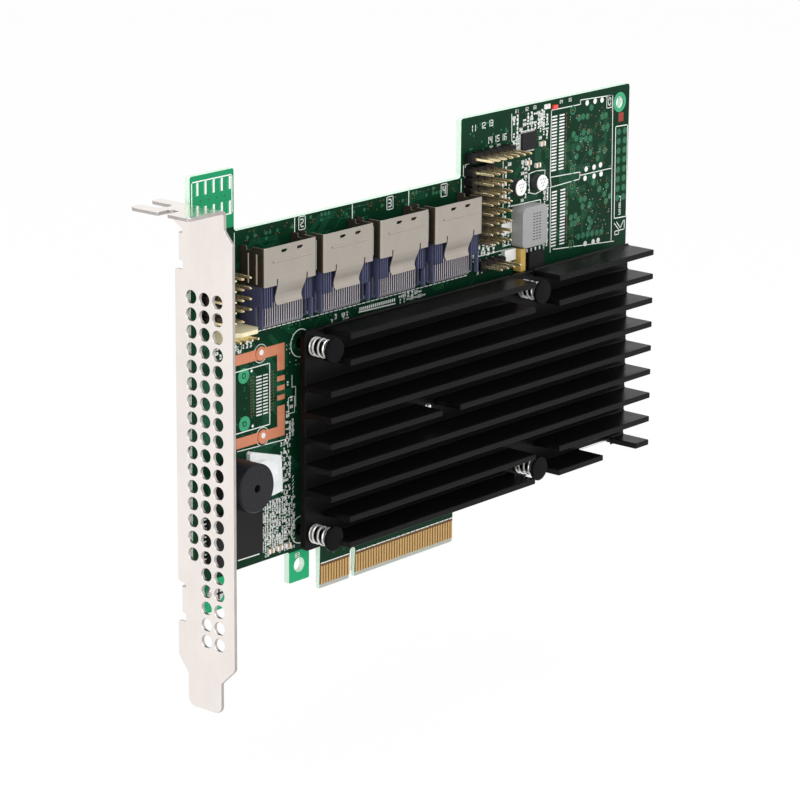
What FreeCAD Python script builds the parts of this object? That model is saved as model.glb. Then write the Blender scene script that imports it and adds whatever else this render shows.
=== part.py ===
"""RAID controller card: full-height bracket, finned heatsink and four mini-SAS connectors.

Frame, in millimetres: the origin is the centre of the key notch at the foot of the card edge,
+X runs along the card away from the bracket, +Z runs up from the card edge and the mid-plane of
the circuit board is y = 0. The component side faces -Y.
"""
import FreeCAD, Part
import math
import os

# Circuit board
board_thickness = 1.57
board_left_margin = 2.71
board_right_x = 110.65
board_bottom_z = 12.4
right_foot_x = 60.0
right_foot_z = 13.3
board_top_z = 111.0
left_shoulder_x = -42.25
right_shoulder_gap = 1.17
shelf_z = 95.9
foot_ear_right_x = -44.6
foot_ear_z = 4.0
lug_left_x = -23.5
lug_right_x = -16.1
lug_bottom_z = 4.2
lug_hole_z = 8.35
lug_hole_radius = 1.8
corner_hole_radius = 1.6
corner_hole_inset = 4.6

# Card edge: one key notch between two rows of contacts
edge_left_x = -12.15
edge_right_x = 39.15
key_width = 1.9
key_height = 8.0
edge_bevel = 0.5
edge_bevel_height = 1.2
pad_width = 0.7
pad_pitch = 1.0
pad_low_z = 1.25
pad_high_z = 5.9
first_pad_x = 1.5
pads_left = 11
pads_right = 38
plating = 0.05

# Bracket: one folded sheet
bracket_sheet = 0.86
bracket_gap = 1.19
bracket_front_y = -16.23
bracket_back_y = 2.2
bracket_low_z = -5.1
bracket_shoulder_z = 97.5
bend_radius = 0.5
tongue_front_y = -11.85
tongue_back_y = -0.92
tongue_low_z = -17.0
tongue_top_z = -9.0
flange_top_z = 105.35
flange_reach = 11.45
flange_front_y = -13.6
flange_back_y = 6.3
flange_tip_back_y = 5.1
screw_slot_width = 4.42
screw_slot_offset = 5.55
screw_slot_end_y = 0.8
flange_notch_width = 2.9
flange_notch_depth = 4.4
flange_notch_y = -5.25
tab_height = 6.4
tab_length = 12.2
foot_tab_z = 8.95
top_tab_z = 94.9
relief_gap = 2.2
relief_depth = 2.5
relief_run = 1.0
relief_slope = 0.4
fold_margin = 0.4
vent_radius = 1.6
vent_pitch = 4.16
vent_first_y = -2.99
vent_top_z = 83.45
vent_rows = 21
vent_full_rows = 16
vent_sides = 10

# Screws through the board into the bracket tabs
screw_offset = 8.85
screw_radius = 1.45
screw_head_radius = 2.75
screw_head_height = 1.9
fit_clearance = 0.1

# Heatsink
base_gap = 2.7
base_thickness = 1.7
base_left_x = -22.4
base_right_x = 106.0
base_low_z = 13.2
base_right_foot_z = 14.3
base_high_z = 68.4
fin_count = 9
fin_pitch = 6.57
fin_thickness = 1.5
fin_height = 8.5
tip_share = 0.28
top_fin_inset = 0.8
foot_notch_left_x = 85.85
foot_notch_right_x = 100.3
foot_notch_top_z = 15.3
base_corner = 1.0
spot_gap_left_x = 19.2
spot_gap_right_x = 26.1

# Push pins that hold the heatsink down
pin_left_x = -19.3
pin_spacing_x = 80.0
pin_low_z = 17.3
pin_spacing_z = 47.2
pin_head_radius = 3.175
pin_head_thickness = 0.9
pin_head_height = 7.1
pin_shank_radius = 1.5
pin_barb_radius = 2.1
pin_barb_length = 3.0
spring_outer_radius = 2.45
spring_wire = 0.52
spring_turns = 4.5
spring_steps = 8
small_sides = 12
pin_clear_half = 4.95
pin_clear_shift = 1.2
end_clear = 3.8

# Chips under the heatsink
chip_height = 2.2
processor_size = 35.0
processor_cap_share = 0.7
processor_pad_share = 0.66
expander_size = 31.0
expander_cap_share = 0.8
expander_pad_share = 0.76
expander_x = 78.0

# Mini-SAS connectors
sas_count = 4
sas_first_x = -31.55
sas_gap = 2.46
cage_width = 18.2
cage_height = 8.215
cage_low_z = 83.1
cage_high_z = 92.5
cage_wall = 0.35
cage_corner = 0.7
cage_nose_top_z = 88.0
body_low_z = 73.0
body_step_z = 78.6
body_height = 6.2
body_rib = 1.0
body_inset = 0.2
body_floor = 1.4
foot_step = 0.75
nose_half = 7.2
nose_front = 5.9
nose_back = 1.4
card_slot_half = 6.3
card_slot_front = 4.2
card_slot_back = 2.9
card_slot_floor = 2.4
flap_left = -4.4
flap_right = 5.5
flap_waist_z = 79.5
flap_tip_z = 78.0
flap_bend = 1.35
flap_kick = 0.6
slit_width = 0.4
slit_height = 1.5
ridge_z = 88.9
ridge_left = -6.1
ridge_right = 7.1
ridge_half = 0.35
ridge_rise = 0.25
side_rib_first = 2.6
side_rib_second = 5.2
side_rib_half = 0.4
side_rib_rise = 0.25
cage_slot_z = 91.1
cage_slot_left = -2.25
cage_slot_right = 3.2
cage_slot_width = 2.0
cage_slot_height = 0.7
mouth_notch_near = 4.4
mouth_notch_far = 5.8
mouth_notch_depth = 0.9
contact_count = 18
contact_pitch = 0.8
contact_width = 0.3
contact_thickness = 0.2

# Pin headers
header_pitch = 2.54
header_pin = 0.64
header_body_height = 2.5
header_pin_height = 8.5
left_header_gap = 3.68
left_header_columns = 4
left_header_z = 76.44
main_header_gap = 2.7
main_header_z = 79.42
top_header_z = 100.7
fan_header_offset = 4.1
fan_header_z = 72.2
header_margin = 1.27

# Other parts on the component side; offsets run along X from the main header's first pins
buzzer_x = -44.7
buzzer_z = 35.4
buzzer_radius = 6.0
buzzer_height = 9.5
buzzer_rim = 0.4
sound_hole_radius = 1.0
sound_hole_depth = 2.0
adhesive_foot = 1.2
adhesive_height = 3.2
flash_left_x = -52.5
flash_width = 18.5
flash_low_z = 15.4
flash_depth = 12.6
flash_height = 1.2
inductor_offset = 22.95
inductor_z = 79.9
inductor_width = 10.1
inductor_depth = 10.6
inductor_height = 3.9
inductor_corner = 1.6
terminal_left = 4.2
terminal_right = 1.0
terminal_width = 2.8
terminal_height = 0.4
can_radius = 2.0
can_height = 2.4
can_ease = 0.3
can_foot_half = 2.15
can_foot_cut = 0.75
can_foot_height = 0.5
can_left_offset = 19.0
can_right_offset = 27.8
can_z = 90.3
battery_gap = 0.25
battery_low_z = 69.9
battery_width = 8.4
battery_base_height = 3.0
battery_wall_height = 7.5
battery_wall_thickness = 1.0
battery_wall_cut = 1.5
battery_depth = 3.6
battery_pin_count = 4
battery_pin_pitch = 2.0
battery_pin_width = 0.5
battery_pin_inset = 1.2
battery_pin_height = 7.4
frame_left_x = -42.0
frame_right_x = -24.95
frame_low_z = 42.6
frame_high_z = 65.75
frame_band = 2.6
frame_bars_z = 54.7
frame_bar_pitch = 2.38
frame_bar_height = 1.25
controller_offset = 23.9
controller_z = 101.6
controller_width = 5.7
controller_depth = 4.5
controller_height = 0.9
regulator_offset = 27.1
regulator_z = 69.6
regulator_width = 6.2
regulator_depth = 5.0
regulator_height = 1.4
tantalum_offset = 20.1
tantalum_z = 71.2
tantalum_width = 2.0
tantalum_depth = 6.0
tantalum_height = 2.4
crystal_offset = 16.3
crystal_z = 72.9
crystal_width = 4.6
crystal_depth = 3.0
crystal_height = 1.2
led_offset = 34.8
led_z = 109.0
led_width = 1.8
led_depth = 1.1
led_height = 0.7

# Small ceramic parts
ceramic_width = 1.8
ceramic_depth = 1.2
ceramic_height = 1.0
ceramic_gap = 0.4
ceramic_column_offset = 13.7
ceramic_column_z = 88.5
ceramic_column_pitch = 3.5
ceramic_row_x = -30.5
ceramic_row_z = 14.6
ceramic_row_pitch = 3.0
resistor_width = 1.2
resistor_depth = 0.7
resistor_height = 0.45
resistor_first_x = -31.0
resistor_first_z = 18.0
resistor_pitch_x = 2.2
resistor_pitch_z = 2.9
resistor_column_x = -24.4
resistor_column_z = 29.6

# Solder side
memory_width = 10.0
memory_depth = 14.0
memory_height = 1.2
memory_first_x = -30.0
memory_pitch = 18.5
memory_z = 60.0
memory_count = 5
decoupling_width = 1.6
decoupling_depth = 0.8
decoupling_height = 0.8
decoupling_first_x = -2.0
decoupling_first_z = 33.0
decoupling_pitch_x = 3.2
decoupling_pitch_z = 4.0

# Derived planes shared by everything that seats on the board
front = -board_thickness / 2
back = board_thickness / 2
base_back_y = front - base_gap
base_front_y = base_back_y - base_thickness
fin_tip_y = base_front_y - fin_height
pin_head_y = base_front_y - pin_head_height
pin_xs = [pin_left_x, pin_left_x + pin_spacing_x]
pin_zs = [pin_low_z, pin_low_z + pin_spacing_z]
sas_pitch = cage_width + sas_gap
sas_xs = [sas_first_x + sas_pitch * index for index in range(sas_count)]
sas_right_x = sas_xs[-1] + cage_width / 2 - body_inset
sas_left_x = sas_first_x - cage_width / 2 + body_inset
right_shoulder_x = sas_right_x + right_shoulder_gap
left_header_width = header_pitch * (left_header_columns - 1) + header_margin
left_header_x = sas_left_x - left_header_gap - left_header_width
board_left_x = left_header_x - header_margin - board_left_margin
bracket_inner_x = board_left_x - bracket_gap
bracket_outer_x = bracket_inner_x - bracket_sheet
screw_x = bracket_outer_x + screw_offset
screw_zs = [foot_tab_z, top_tab_z]
contact_plane_y = front - body_height + 0.7
battery_x = sas_left_x - battery_gap - battery_width / 2
main_header_x = sas_right_x + main_header_gap + header_margin
fan_header_x = main_header_x + fan_header_offset
inductor_x = main_header_x + inductor_offset
can_left_x = main_header_x + can_left_offset
can_right_x = main_header_x + can_right_offset
controller_x = main_header_x + controller_offset
regulator_x = main_header_x + regulator_offset
tantalum_x = main_header_x + tantalum_offset
crystal_x = main_header_x + crystal_offset
led_x = main_header_x + led_offset
ceramic_column_x = main_header_x + ceramic_column_offset


def vec(x, y, z):
    """Short form of a vector."""
    return FreeCAD.Vector(x, y, z)


def box(x0, x1, y0, y1, z0, z1):
    """Box between two corners."""
    return Part.makeBox(x1 - x0, y1 - y0, z1 - z0, vec(x0, y0, z0))


def at_xz(a, b):
    """Place a flat point on the plane of the board."""
    return vec(a, 0, b)


def at_yz(a, b):
    """Place a flat point on the plane of the bracket."""
    return vec(0, a, b)


def at_xy(a, b):
    """Place a flat point on the plane of the flange."""
    return vec(a, b, 0)


def outline(corners, place):
    """Closed face through corners (a, b) or (a, b, radius), set on a plane by place."""
    flat = [vec(corner[0], corner[1], 0) for corner in corners]
    radii = [corner[2] if len(corner) > 2 else 0 for corner in corners]
    stations = []
    for index, here in enumerate(flat):
        radius = radii[index]
        if not radius:
            stations.append([here])
            continue
        before = (flat[index - 1] - here).normalize()
        after = (flat[(index + 1) % len(flat)] - here).normalize()
        half = math.acos(max(-1, min(1, before.dot(after)))) / 2
        run = radius / math.tan(half)
        bisector = (before + after).normalize()
        middle = here + bisector * (radius / math.sin(half) - radius)
        stations.append([here + before * run, middle, here + after * run])
    edges = []
    for index, station in enumerate(stations):
        points = [place(point.x, point.y) for point in station]
        following = stations[(index + 1) % len(stations)][0]
        if len(points) == 3:
            edges.append(Part.Arc(points[0], points[1], points[2]).toShape())
        edges.append(Part.LineSegment(points[-1], place(following.x, following.y)).toShape())
    return Part.Face(Part.Wire(edges))


def plate(corners, y0, y1):
    """Plate parallel to the board, between two depths."""
    face = outline(corners, at_xz)
    face.translate(vec(0, y0, 0))
    return face.extrude(vec(0, y1 - y0, 0))


def bar(corners, x0, x1):
    """Bar along X with a section drawn on the bracket's plane."""
    face = outline(corners, at_yz)
    face.translate(vec(x0, 0, 0))
    return face.extrude(vec(x1 - x0, 0, 0))


def strip(corners, z0, z1):
    """Strip along Z with a section drawn on the flange's plane."""
    face = outline(corners, at_xy)
    face.translate(vec(0, 0, z0))
    return face.extrude(vec(0, 0, z1 - z0))


def disc(x, z, radius, y0, y1):
    """Cylinder square to the board."""
    return Part.makeCylinder(radius, y1 - y0, vec(x, y0, z), vec(0, 1, 0))


def ring_points(radius, sides):
    """Corners of a regular polygon of that radius, as flat (a, b) pairs."""
    turns = [2 * math.pi * (step + 0.5) / sides for step in range(sides)]
    return [(radius * math.cos(turn), radius * math.sin(turn)) for turn in turns]


def faceted(x, z, stations):
    """Small round body of flat facets, with one ring of corners at each (radius, y) station."""
    rings = [[vec(x + a, y, z + b) for a, b in ring_points(radius, small_sides)]
             for radius, y in stations]
    faces = [Part.Face(Part.makePolygon(ring + ring[:1])) for ring in (rings[0], rings[-1])]
    for lower, upper in zip(rings, rings[1:]):
        for index in range(small_sides):
            after = (index + 1) % small_sides
            corners = [lower[index], lower[after], upper[after], upper[index]]
            faces.append(Part.Face(Part.makePolygon(corners + corners[:1])))
    shell = Part.makeShell(faces)
    shell.sewShape()
    body = Part.makeSolid(shell)
    if body.Volume < 0:
        body.reverse()
    return body


def turned(x, z, profile):
    """Body of revolution about an axis square to the board; profile corners are (radius, y)."""
    body = outline(profile, at_xy).revolve(vec(0, 0, 0), vec(0, 1, 0), 360)
    body.translate(vec(x, 0, z))
    return body


def clear_hole(x, z, radius, y0, y1):
    """Cutter for a hole that clears a small shank, through both faces of a plate."""
    wide = radius + fit_clearance
    return faceted(x, z, [(wide, y0 - 1), (wide, y1 + 1)])


def rounded(x0, x1, z0, z1, radius, y0, y1):
    """Plate with four rounded corners."""
    corners = [(x0, z0, radius), (x1, z0, radius), (x1, z1, radius), (x0, z1, radius)]
    return plate(corners, y0, y1)


def fuse(shapes):
    """One solid from shapes that share faces or overlap."""
    return shapes[0].multiFuse(shapes[1:]).removeSplitter()


def write(name, shapes):
    """Write one sub-part, as one solid or as a group of separate solids."""
    shape = shapes[0] if len(shapes) == 1 else Part.makeCompound(shapes)
    solids = shape.Solids
    assert all(solid.isValid() for solid in solids), name
    shape.exportStep("parts/" + name + ".step")
    print(name, len(solids), round(shape.Volume, 2))


# ------------------------------------------------------------------ circuit board

def circuit_board():
    """Board with two ears for the bracket, a lug, the card edge and every hole."""
    half_key = key_width / 2
    body = plate([
        (board_left_x, foot_ear_z), (foot_ear_right_x, foot_ear_z),
        (foot_ear_right_x, board_bottom_z), (lug_left_x, board_bottom_z),
        (lug_left_x, lug_bottom_z), (lug_right_x, lug_bottom_z),
        (lug_right_x, board_bottom_z), (edge_left_x, board_bottom_z),
        (edge_left_x, 0), (-half_key, 0), (-half_key, key_height, half_key * 0.95),
        (half_key, key_height, half_key * 0.95), (half_key, 0), (edge_right_x, 0),
        (edge_right_x, board_bottom_z), (right_foot_x, board_bottom_z),
        (right_foot_x, right_foot_z), (board_right_x, right_foot_z),
        (board_right_x, board_top_z, 1.0), (right_shoulder_x, board_top_z),
        (right_shoulder_x, shelf_z), (left_shoulder_x, shelf_z),
        (left_shoulder_x, board_top_z), (board_left_x, board_top_z),
    ], front, back)
    cuts = []
    for side in (-1, 1):
        face_y = side * board_thickness / 2
        nose_y = face_y - side * edge_bevel
        wedge = [(face_y + side, -1), (nose_y, -1), (nose_y, 0), (face_y, edge_bevel_height),
                 (face_y + side, edge_bevel_height)]
        cuts.append(bar(wedge, edge_left_x - 1, edge_right_x + 1))
    lug_x = (lug_left_x + lug_right_x) / 2
    corner_x = board_right_x - corner_hole_inset
    corner_z = board_top_z - corner_hole_inset
    cuts.append(disc(lug_x, lug_hole_z, lug_hole_radius, front - 1, back + 1))
    cuts.append(disc(corner_x, corner_z, corner_hole_radius, front - 1, back + 1))
    cuts += [clear_hole(x, z, pin_shank_radius, front, back) for x in pin_xs for z in pin_zs]
    cuts += [clear_hole(screw_x, z, screw_radius, front, back) for z in screw_zs]
    return [body.cut(cuts)]


def edge_contacts(side):
    """Row of plated contacts on one face of the card edge; side is -1 for the component side."""
    y0, y1 = sorted((side * board_thickness / 2, side * (board_thickness / 2 + plating)))
    centres = [-first_pad_x - pad_pitch * index for index in range(pads_left)]
    centres += [first_pad_x + pad_pitch * index for index in range(pads_right)]
    return [box(x - pad_width / 2, x + pad_width / 2, y0, y1, pad_low_z, pad_high_z)
            for x in centres]


def copper_frame():
    """Bare copper area on the component side: a band round three sides, with three short bars."""
    y0 = front - plating
    inner_right = frame_right_x - frame_band
    inner_low = frame_low_z + frame_band
    inner_high = frame_high_z - frame_band
    arm_low = frame_bars_z - 1.85 * frame_bar_pitch
    arm_high = frame_bars_z + 1.85 * frame_bar_pitch
    upper = plate([(frame_left_x, frame_high_z), (frame_left_x, inner_high),
                   (inner_right, inner_high), (inner_right, arm_high),
                   (frame_right_x, arm_high), (frame_right_x, frame_high_z)], y0, front)
    lower = plate([(frame_left_x, inner_low), (frame_left_x, frame_low_z),
                   (frame_right_x, frame_low_z), (frame_right_x, arm_low),
                   (inner_right, arm_low), (inner_right, inner_low)], y0, front)
    bars = []
    for index in (-1, 0, 1):
        z = frame_bars_z + index * frame_bar_pitch
        bars.append(box(inner_right, frame_right_x, y0, front, z - frame_bar_height / 2,
                        z + frame_bar_height / 2))
    return [upper, lower] + bars


# ------------------------------------------------------------------ bracket

def bracket():
    """Folded bracket: vented face, tongue, outward flange with a screw slot and two tabs."""
    relief_y = bracket_back_y - relief_depth
    lower_relief_z = foot_tab_z - tab_height / 2 - relief_gap
    upper_relief_z = top_tab_z - tab_height / 2 - relief_gap
    upper_relief_end = top_tab_z + tab_height / 2 + relief_run
    fold_z = flange_top_z - bracket_sheet - bend_radius - fold_margin
    face = bar([
        (tongue_front_y, tongue_low_z, 2.0), (tongue_back_y, tongue_low_z, 2.0),
        (tongue_back_y, tongue_top_z), (bracket_back_y, bracket_low_z),
        (bracket_back_y, lower_relief_z), (relief_y, lower_relief_z),
        (relief_y, foot_tab_z + tab_height / 2 + relief_run),
        (bracket_back_y, foot_tab_z + tab_height / 2 + relief_run + relief_slope),
        (bracket_back_y, upper_relief_z), (relief_y, upper_relief_z),
        (relief_y, upper_relief_end), (flange_back_y, fold_z - 0.2),
        (flange_back_y, fold_z + 0.1), (flange_front_y, fold_z + 0.1),
        (flange_front_y, bracket_shoulder_z + 3.0),
        (bracket_front_y, bracket_shoulder_z), (bracket_front_y, bracket_low_z, 1.5),
        (tongue_front_y, tongue_top_z - 0.3),
    ], bracket_outer_x, bracket_inner_x)
    pieces = [face, flange(fold_z)]
    for z in screw_zs:
        pieces.append(tab(z, relief_y))
    sheet = fuse(pieces)
    return [sheet.cut(vents())]


def flange(fold_z):
    """Top of the bracket, folded away from the board, with its screw slot and notch."""
    outer = bend_radius + bracket_sheet
    section = outline([
        (bracket_inner_x, fold_z), (bracket_inner_x, flange_top_z, outer),
        (bracket_outer_x - flange_reach, flange_top_z),
        (bracket_outer_x - flange_reach, flange_top_z - bracket_sheet),
        (bracket_outer_x, flange_top_z - bracket_sheet, bend_radius),
        (bracket_outer_x, fold_z),
    ], at_xz)
    section.translate(vec(0, flange_front_y, 0))
    body = section.extrude(vec(0, flange_back_y - flange_front_y, 0))
    edge_x = bracket_outer_x - flange_reach
    slot_x = bracket_outer_x - screw_slot_offset
    slot_half = screw_slot_width / 2
    low_z = flange_top_z - bracket_sheet - 1
    high_z = flange_top_z + 1
    slot_base_y = screw_slot_end_y - slot_half
    slot = strip([
        (slot_x - slot_half, slot_base_y, slot_half * 0.98),
        (slot_x + slot_half, slot_base_y, slot_half * 0.98),
        (slot_x + slot_half, flange_back_y + 1), (slot_x - slot_half, flange_back_y + 1),
    ], low_z, high_z)
    tip_end = strip([(edge_x - 1, flange_tip_back_y), (slot_x, flange_tip_back_y),
                     (slot_x, flange_back_y + 1), (edge_x - 1, flange_back_y + 1)], low_z, high_z)
    notch = strip([
        (edge_x - 1, flange_notch_y - flange_notch_width / 2),
        (edge_x + flange_notch_depth, flange_notch_y - flange_notch_width / 2),
        (edge_x + flange_notch_depth, flange_notch_y + flange_notch_width / 2),
        (edge_x - 1, flange_notch_y + flange_notch_width / 2),
    ], low_z, high_z)
    return body.cut([slot, notch, tip_end])


def tab(z, relief_y):
    """Mounting tab that folds back along the board and lies on its solder side."""
    outer = bend_radius + bracket_sheet
    tab_back = back + bracket_sheet
    body = strip([
        (bracket_outer_x, relief_y - 0.5), (bracket_outer_x, tab_back, outer),
        (bracket_outer_x + tab_length, tab_back), (bracket_outer_x + tab_length, back),
        (bracket_inner_x, back, bend_radius), (bracket_inner_x, relief_y - 0.5),
    ], z - tab_height / 2, z + tab_height / 2)
    return body.cut(clear_hole(screw_x, z, screw_radius, back, tab_back))


def vents():
    """Round air holes: three columns, of which the one nearest the board stops early."""
    holes = []
    for row in range(vent_rows):
        z = vent_top_z - vent_pitch * row
        columns = range(3) if row < vent_full_rows else range(1, 3)
        for column in columns:
            y = vent_first_y - vent_pitch * column
            corners = [(y + a, z + b) for a, b in ring_points(vent_radius, vent_sides)]
            holes.append(bar(corners, bracket_outer_x - 1, bracket_inner_x + 1))
    return holes


def bracket_screws():
    """Two pan-head screws driven from the component side into the tabs."""
    tip_y = back + bracket_sheet + 0.8
    head_y = front - screw_head_height
    stations = [(screw_head_radius - 0.9, head_y), (screw_head_radius, head_y + 0.9),
                (screw_head_radius, front), (screw_radius, front), (screw_radius, tip_y)]
    return [faceted(screw_x, z, stations) for z in screw_zs]


# ------------------------------------------------------------------ heatsink

def fin(row, x0, x1):
    """One fin with an eased tip, over one run along the base."""
    z = base_high_z - top_fin_inset - fin_pitch * row
    half = fin_thickness / 2
    ease = fin_thickness * tip_share
    return bar([(base_front_y, z - half), (base_front_y, z + half),
                (fin_tip_y + ease, z + half), (fin_tip_y, z + half - ease),
                (fin_tip_y, z - half + ease), (fin_tip_y + ease, z - half)], x0, x1)


def fin_runs(row):
    """Runs of one fin along X, broken where a push pin or a notch needs room."""
    near_left_pin = row < 2 or row > fin_count - 3
    start = pin_left_x + end_clear if near_left_pin else base_left_x
    pin_x = pin_left_x + pin_spacing_x
    gaps = []
    if row < 2:
        gaps.append((pin_x - pin_clear_half, pin_x + pin_clear_half))
    if row > fin_count - 3:
        middle = pin_x + pin_clear_shift
        gaps.append((middle - pin_clear_half, middle + pin_clear_half))
    if row == fin_count - 1:
        gaps.append((foot_notch_left_x, foot_notch_right_x))
    if row == fin_count // 2:
        gaps.append((spot_gap_left_x, spot_gap_right_x))
    runs = []
    for gap_start, gap_end in gaps:
        runs.append((start, gap_start))
        start = gap_end
    runs.append((start, base_right_x))
    return runs


def heatsink():
    """Finned plate with four pin holes and a notch in its lower edge."""
    base = plate([
        (base_left_x, base_low_z, base_corner), (foot_notch_left_x, base_low_z),
        (foot_notch_left_x, foot_notch_top_z), (foot_notch_right_x, foot_notch_top_z),
        (foot_notch_right_x, base_right_foot_z), (base_right_x, base_right_foot_z),
        (base_right_x, base_high_z, base_corner), (base_left_x, base_high_z, base_corner),
    ], base_front_y, base_back_y)
    holes = [clear_hole(x, z, pin_shank_radius, base_front_y, base_back_y)
             for x in pin_xs for z in pin_zs]
    base = base.cut(holes)
    fins = [fin(row, x0, x1) for row in range(fin_count) for x0, x1 in fin_runs(row)]
    return [fuse([base] + fins)]


def push_pins():
    """Four nylon push pins: flat head, shank through heatsink and board, barbed end behind."""
    underside = pin_head_y + pin_head_thickness
    barb_end = back + pin_barb_length
    stations = [(pin_head_radius, pin_head_y), (pin_head_radius, underside),
                (pin_shank_radius, underside), (pin_shank_radius, back),
                (pin_barb_radius, back), (pin_barb_radius, back + 0.5), (1.0, barb_end)]
    return [faceted(x, z, stations) for x in pin_xs for z in pin_zs]


def spring(x, z):
    """Compression spring of square wire between the heatsink and a pin's head."""
    half = spring_wire / 2
    start = base_front_y - half - 0.02
    end = pin_head_y + pin_head_thickness + half + 0.02
    radius = spring_outer_radius - half
    count = int(spring_turns * spring_steps)
    sections = []
    for step in range(count + 1):
        share = step / count
        angle = 2 * math.pi * spring_turns * share
        y = start + (end - start) * share
        points = []
        for out, along in ((-half, -half), (half, -half), (half, half), (-half, half)):
            reach = radius + out
            points.append(vec(x + reach * math.cos(angle), y + along,
                              z + reach * math.sin(angle)))
        sections.append(Part.makePolygon(points + points[:1]))
    return Part.makeLoft(sections, True, True)


def push_pin_springs():
    """One spring under each push pin's head."""
    return [spring(x, z) for x in pin_xs for z in pin_zs]


def chip_centre():
    """Centre of the four push pins, over which the processor sits."""
    return pin_left_x + pin_spacing_x / 2, pin_low_z + pin_spacing_z / 2


def chip(x, z, width, depth, height, side=-1):
    """Chip package that seats on one face of the board."""
    y0, y1 = sorted((side * board_thickness / 2, side * (board_thickness / 2 + height)))
    return box(x - width / 2, x + width / 2, y0, y1, z - depth / 2, z + depth / 2)


def ball_grid_chip(x, z, size, lid_share):
    """Ball grid chip: a thin substrate with a smaller moulded cap."""
    substrate = chip(x, z, size, size, chip_height / 2)
    half = size * lid_share / 2
    cap = box(x - half, x + half, front - chip_height, front - chip_height / 2,
              z - half, z + half)
    return fuse([substrate, cap])


def thermal_pad(x, z, size):
    """Soft pad that fills the gap between a chip and the heatsink."""
    half = size / 2
    return box(x - half, x + half, base_back_y, front - chip_height, z - half, z + half)


# ------------------------------------------------------------------ mini-SAS connectors

def sas_shell(x):
    """Sheet-metal cage open at the top, with side ribs, slots, a ridge and a spring flap."""
    half = cage_width / 2
    outer_y = front - cage_height
    cage = strip([
        (x - half, front), (x - half, outer_y, cage_corner), (x + half, outer_y, cage_corner),
        (x + half, front), (x + half - cage_wall, front),
        (x + half - cage_wall, outer_y + cage_wall),
        (x - half + cage_wall, outer_y + cage_wall), (x - half + cage_wall, front),
    ], cage_low_z, cage_high_z)
    ridge_y = outer_y - ridge_rise
    ridge_top = ridge_half / 2
    ridge = bar([(outer_y, ridge_z - ridge_half), (outer_y, ridge_z + ridge_half),
                 (ridge_y, ridge_z + ridge_top), (ridge_y, ridge_z - ridge_top)],
                x + ridge_left, x + ridge_right)
    ribs = []
    for side in (-1, 1):
        wall_x = x + side * half
        rib_x = wall_x + side * side_rib_rise
        for y in (outer_y + side_rib_first, outer_y + side_rib_second):
            ribs.append(strip([(wall_x, y - side_rib_half), (rib_x, y - side_rib_half / 2),
                               (rib_x, y + side_rib_half / 2), (wall_x, y + side_rib_half)],
                              cage_low_z + 0.8, cage_high_z - 2.2))
    bend_y = outer_y + flap_bend
    tip_y = outer_y + flap_kick
    flap = bar([
        (outer_y, cage_low_z + 0.2), (outer_y, cage_low_z - 0.2), (bend_y, flap_waist_z),
        (tip_y, flap_tip_z), (tip_y + cage_wall, flap_tip_z),
        (bend_y + cage_wall, flap_waist_z), (outer_y + cage_wall, cage_low_z - 0.2),
        (outer_y + cage_wall, cage_low_z + 0.2),
    ], x + flap_left, x + flap_right)
    cuts = []
    for slot_x in (x + cage_slot_left, x + cage_slot_right):
        cuts.append(box(slot_x - cage_slot_width / 2, slot_x + cage_slot_width / 2,
                        outer_y - 1, outer_y + 1, cage_slot_z - cage_slot_height / 2,
                        cage_slot_z + cage_slot_height / 2))
    for slit_x in (x + flap_left - slit_width, x + flap_right):
        cuts.append(box(slit_x, slit_x + slit_width, outer_y - 1, outer_y + 1,
                        cage_low_z - 1, cage_low_z + slit_height))
    notch = box(x - half - 1, x + half + 1, outer_y + mouth_notch_near,
                outer_y + mouth_notch_far, cage_high_z - mouth_notch_depth, cage_high_z + 1)
    return fuse([cage, ridge, flap] + ribs).cut(cuts + [notch])


def sas_housing(x):
    """Moulded connector body: ribbed front, contact channel below and a card slot in the cage."""
    half = cage_width / 2 - body_inset
    face_y = front - body_height
    foot_y = contact_plane_y + contact_thickness + fit_clearance
    body = bar([(front, body_low_z), (front, cage_low_z), (face_y, cage_low_z),
                (face_y, body_step_z), (foot_y, body_step_z), (foot_y, body_low_z)],
               x - half, x + half)
    pieces = [body]
    inner = cage_width / 2 - cage_wall - fit_clearance
    pieces.append(box(x - inner, x + inner, front - cage_height + cage_wall + fit_clearance,
                      front, cage_low_z, cage_low_z + body_floor))
    nose = box(x - nose_half, x + nose_half, front - nose_front, front - nose_back,
               cage_low_z + body_floor, cage_nose_top_z)
    card_slot = box(x - card_slot_half, x + card_slot_half, front - card_slot_front,
                    front - card_slot_back, cage_low_z + card_slot_floor, cage_nose_top_z + 1)
    pieces.append(nose.cut(card_slot))
    steps = range(-11, 12)
    for step in steps:
        rib_x = x + step * contact_pitch * 0.98
        beside_flap = flap_left - 0.6 < rib_x - x < flap_right + 0.6
        if beside_flap or abs(rib_x - x) > half - body_inset:
            continue
        pieces.append(box(rib_x - 0.2, rib_x + 0.2, face_y - body_rib, face_y,
                          body_step_z, cage_low_z))
    return fuse(pieces)


def sas_contacts(x):
    """Row of bent contacts that leave the body, run down and turn back to the board."""
    outer_y = contact_plane_y
    inner_y = outer_y + contact_thickness
    low_z = body_low_z - foot_step + 0.2
    contacts = []
    for index in range(contact_count):
        centre = x + contact_pitch * (index - (contact_count - 1) / 2)
        contacts.append(bar([
            (outer_y, body_step_z - 0.1), (outer_y, low_z), (front, low_z),
            (front, low_z + contact_thickness), (inner_y, low_z + contact_thickness),
            (inner_y, body_step_z - 0.1),
        ], centre - contact_width / 2, centre + contact_width / 2))
    return contacts


# ------------------------------------------------------------------ pin headers

def grid(x, z, columns, rows):
    """Pin positions, from the lower left corner."""
    return [(x + header_pitch * column, z + header_pitch * row)
            for row in range(rows) for column in range(columns)]


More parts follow.
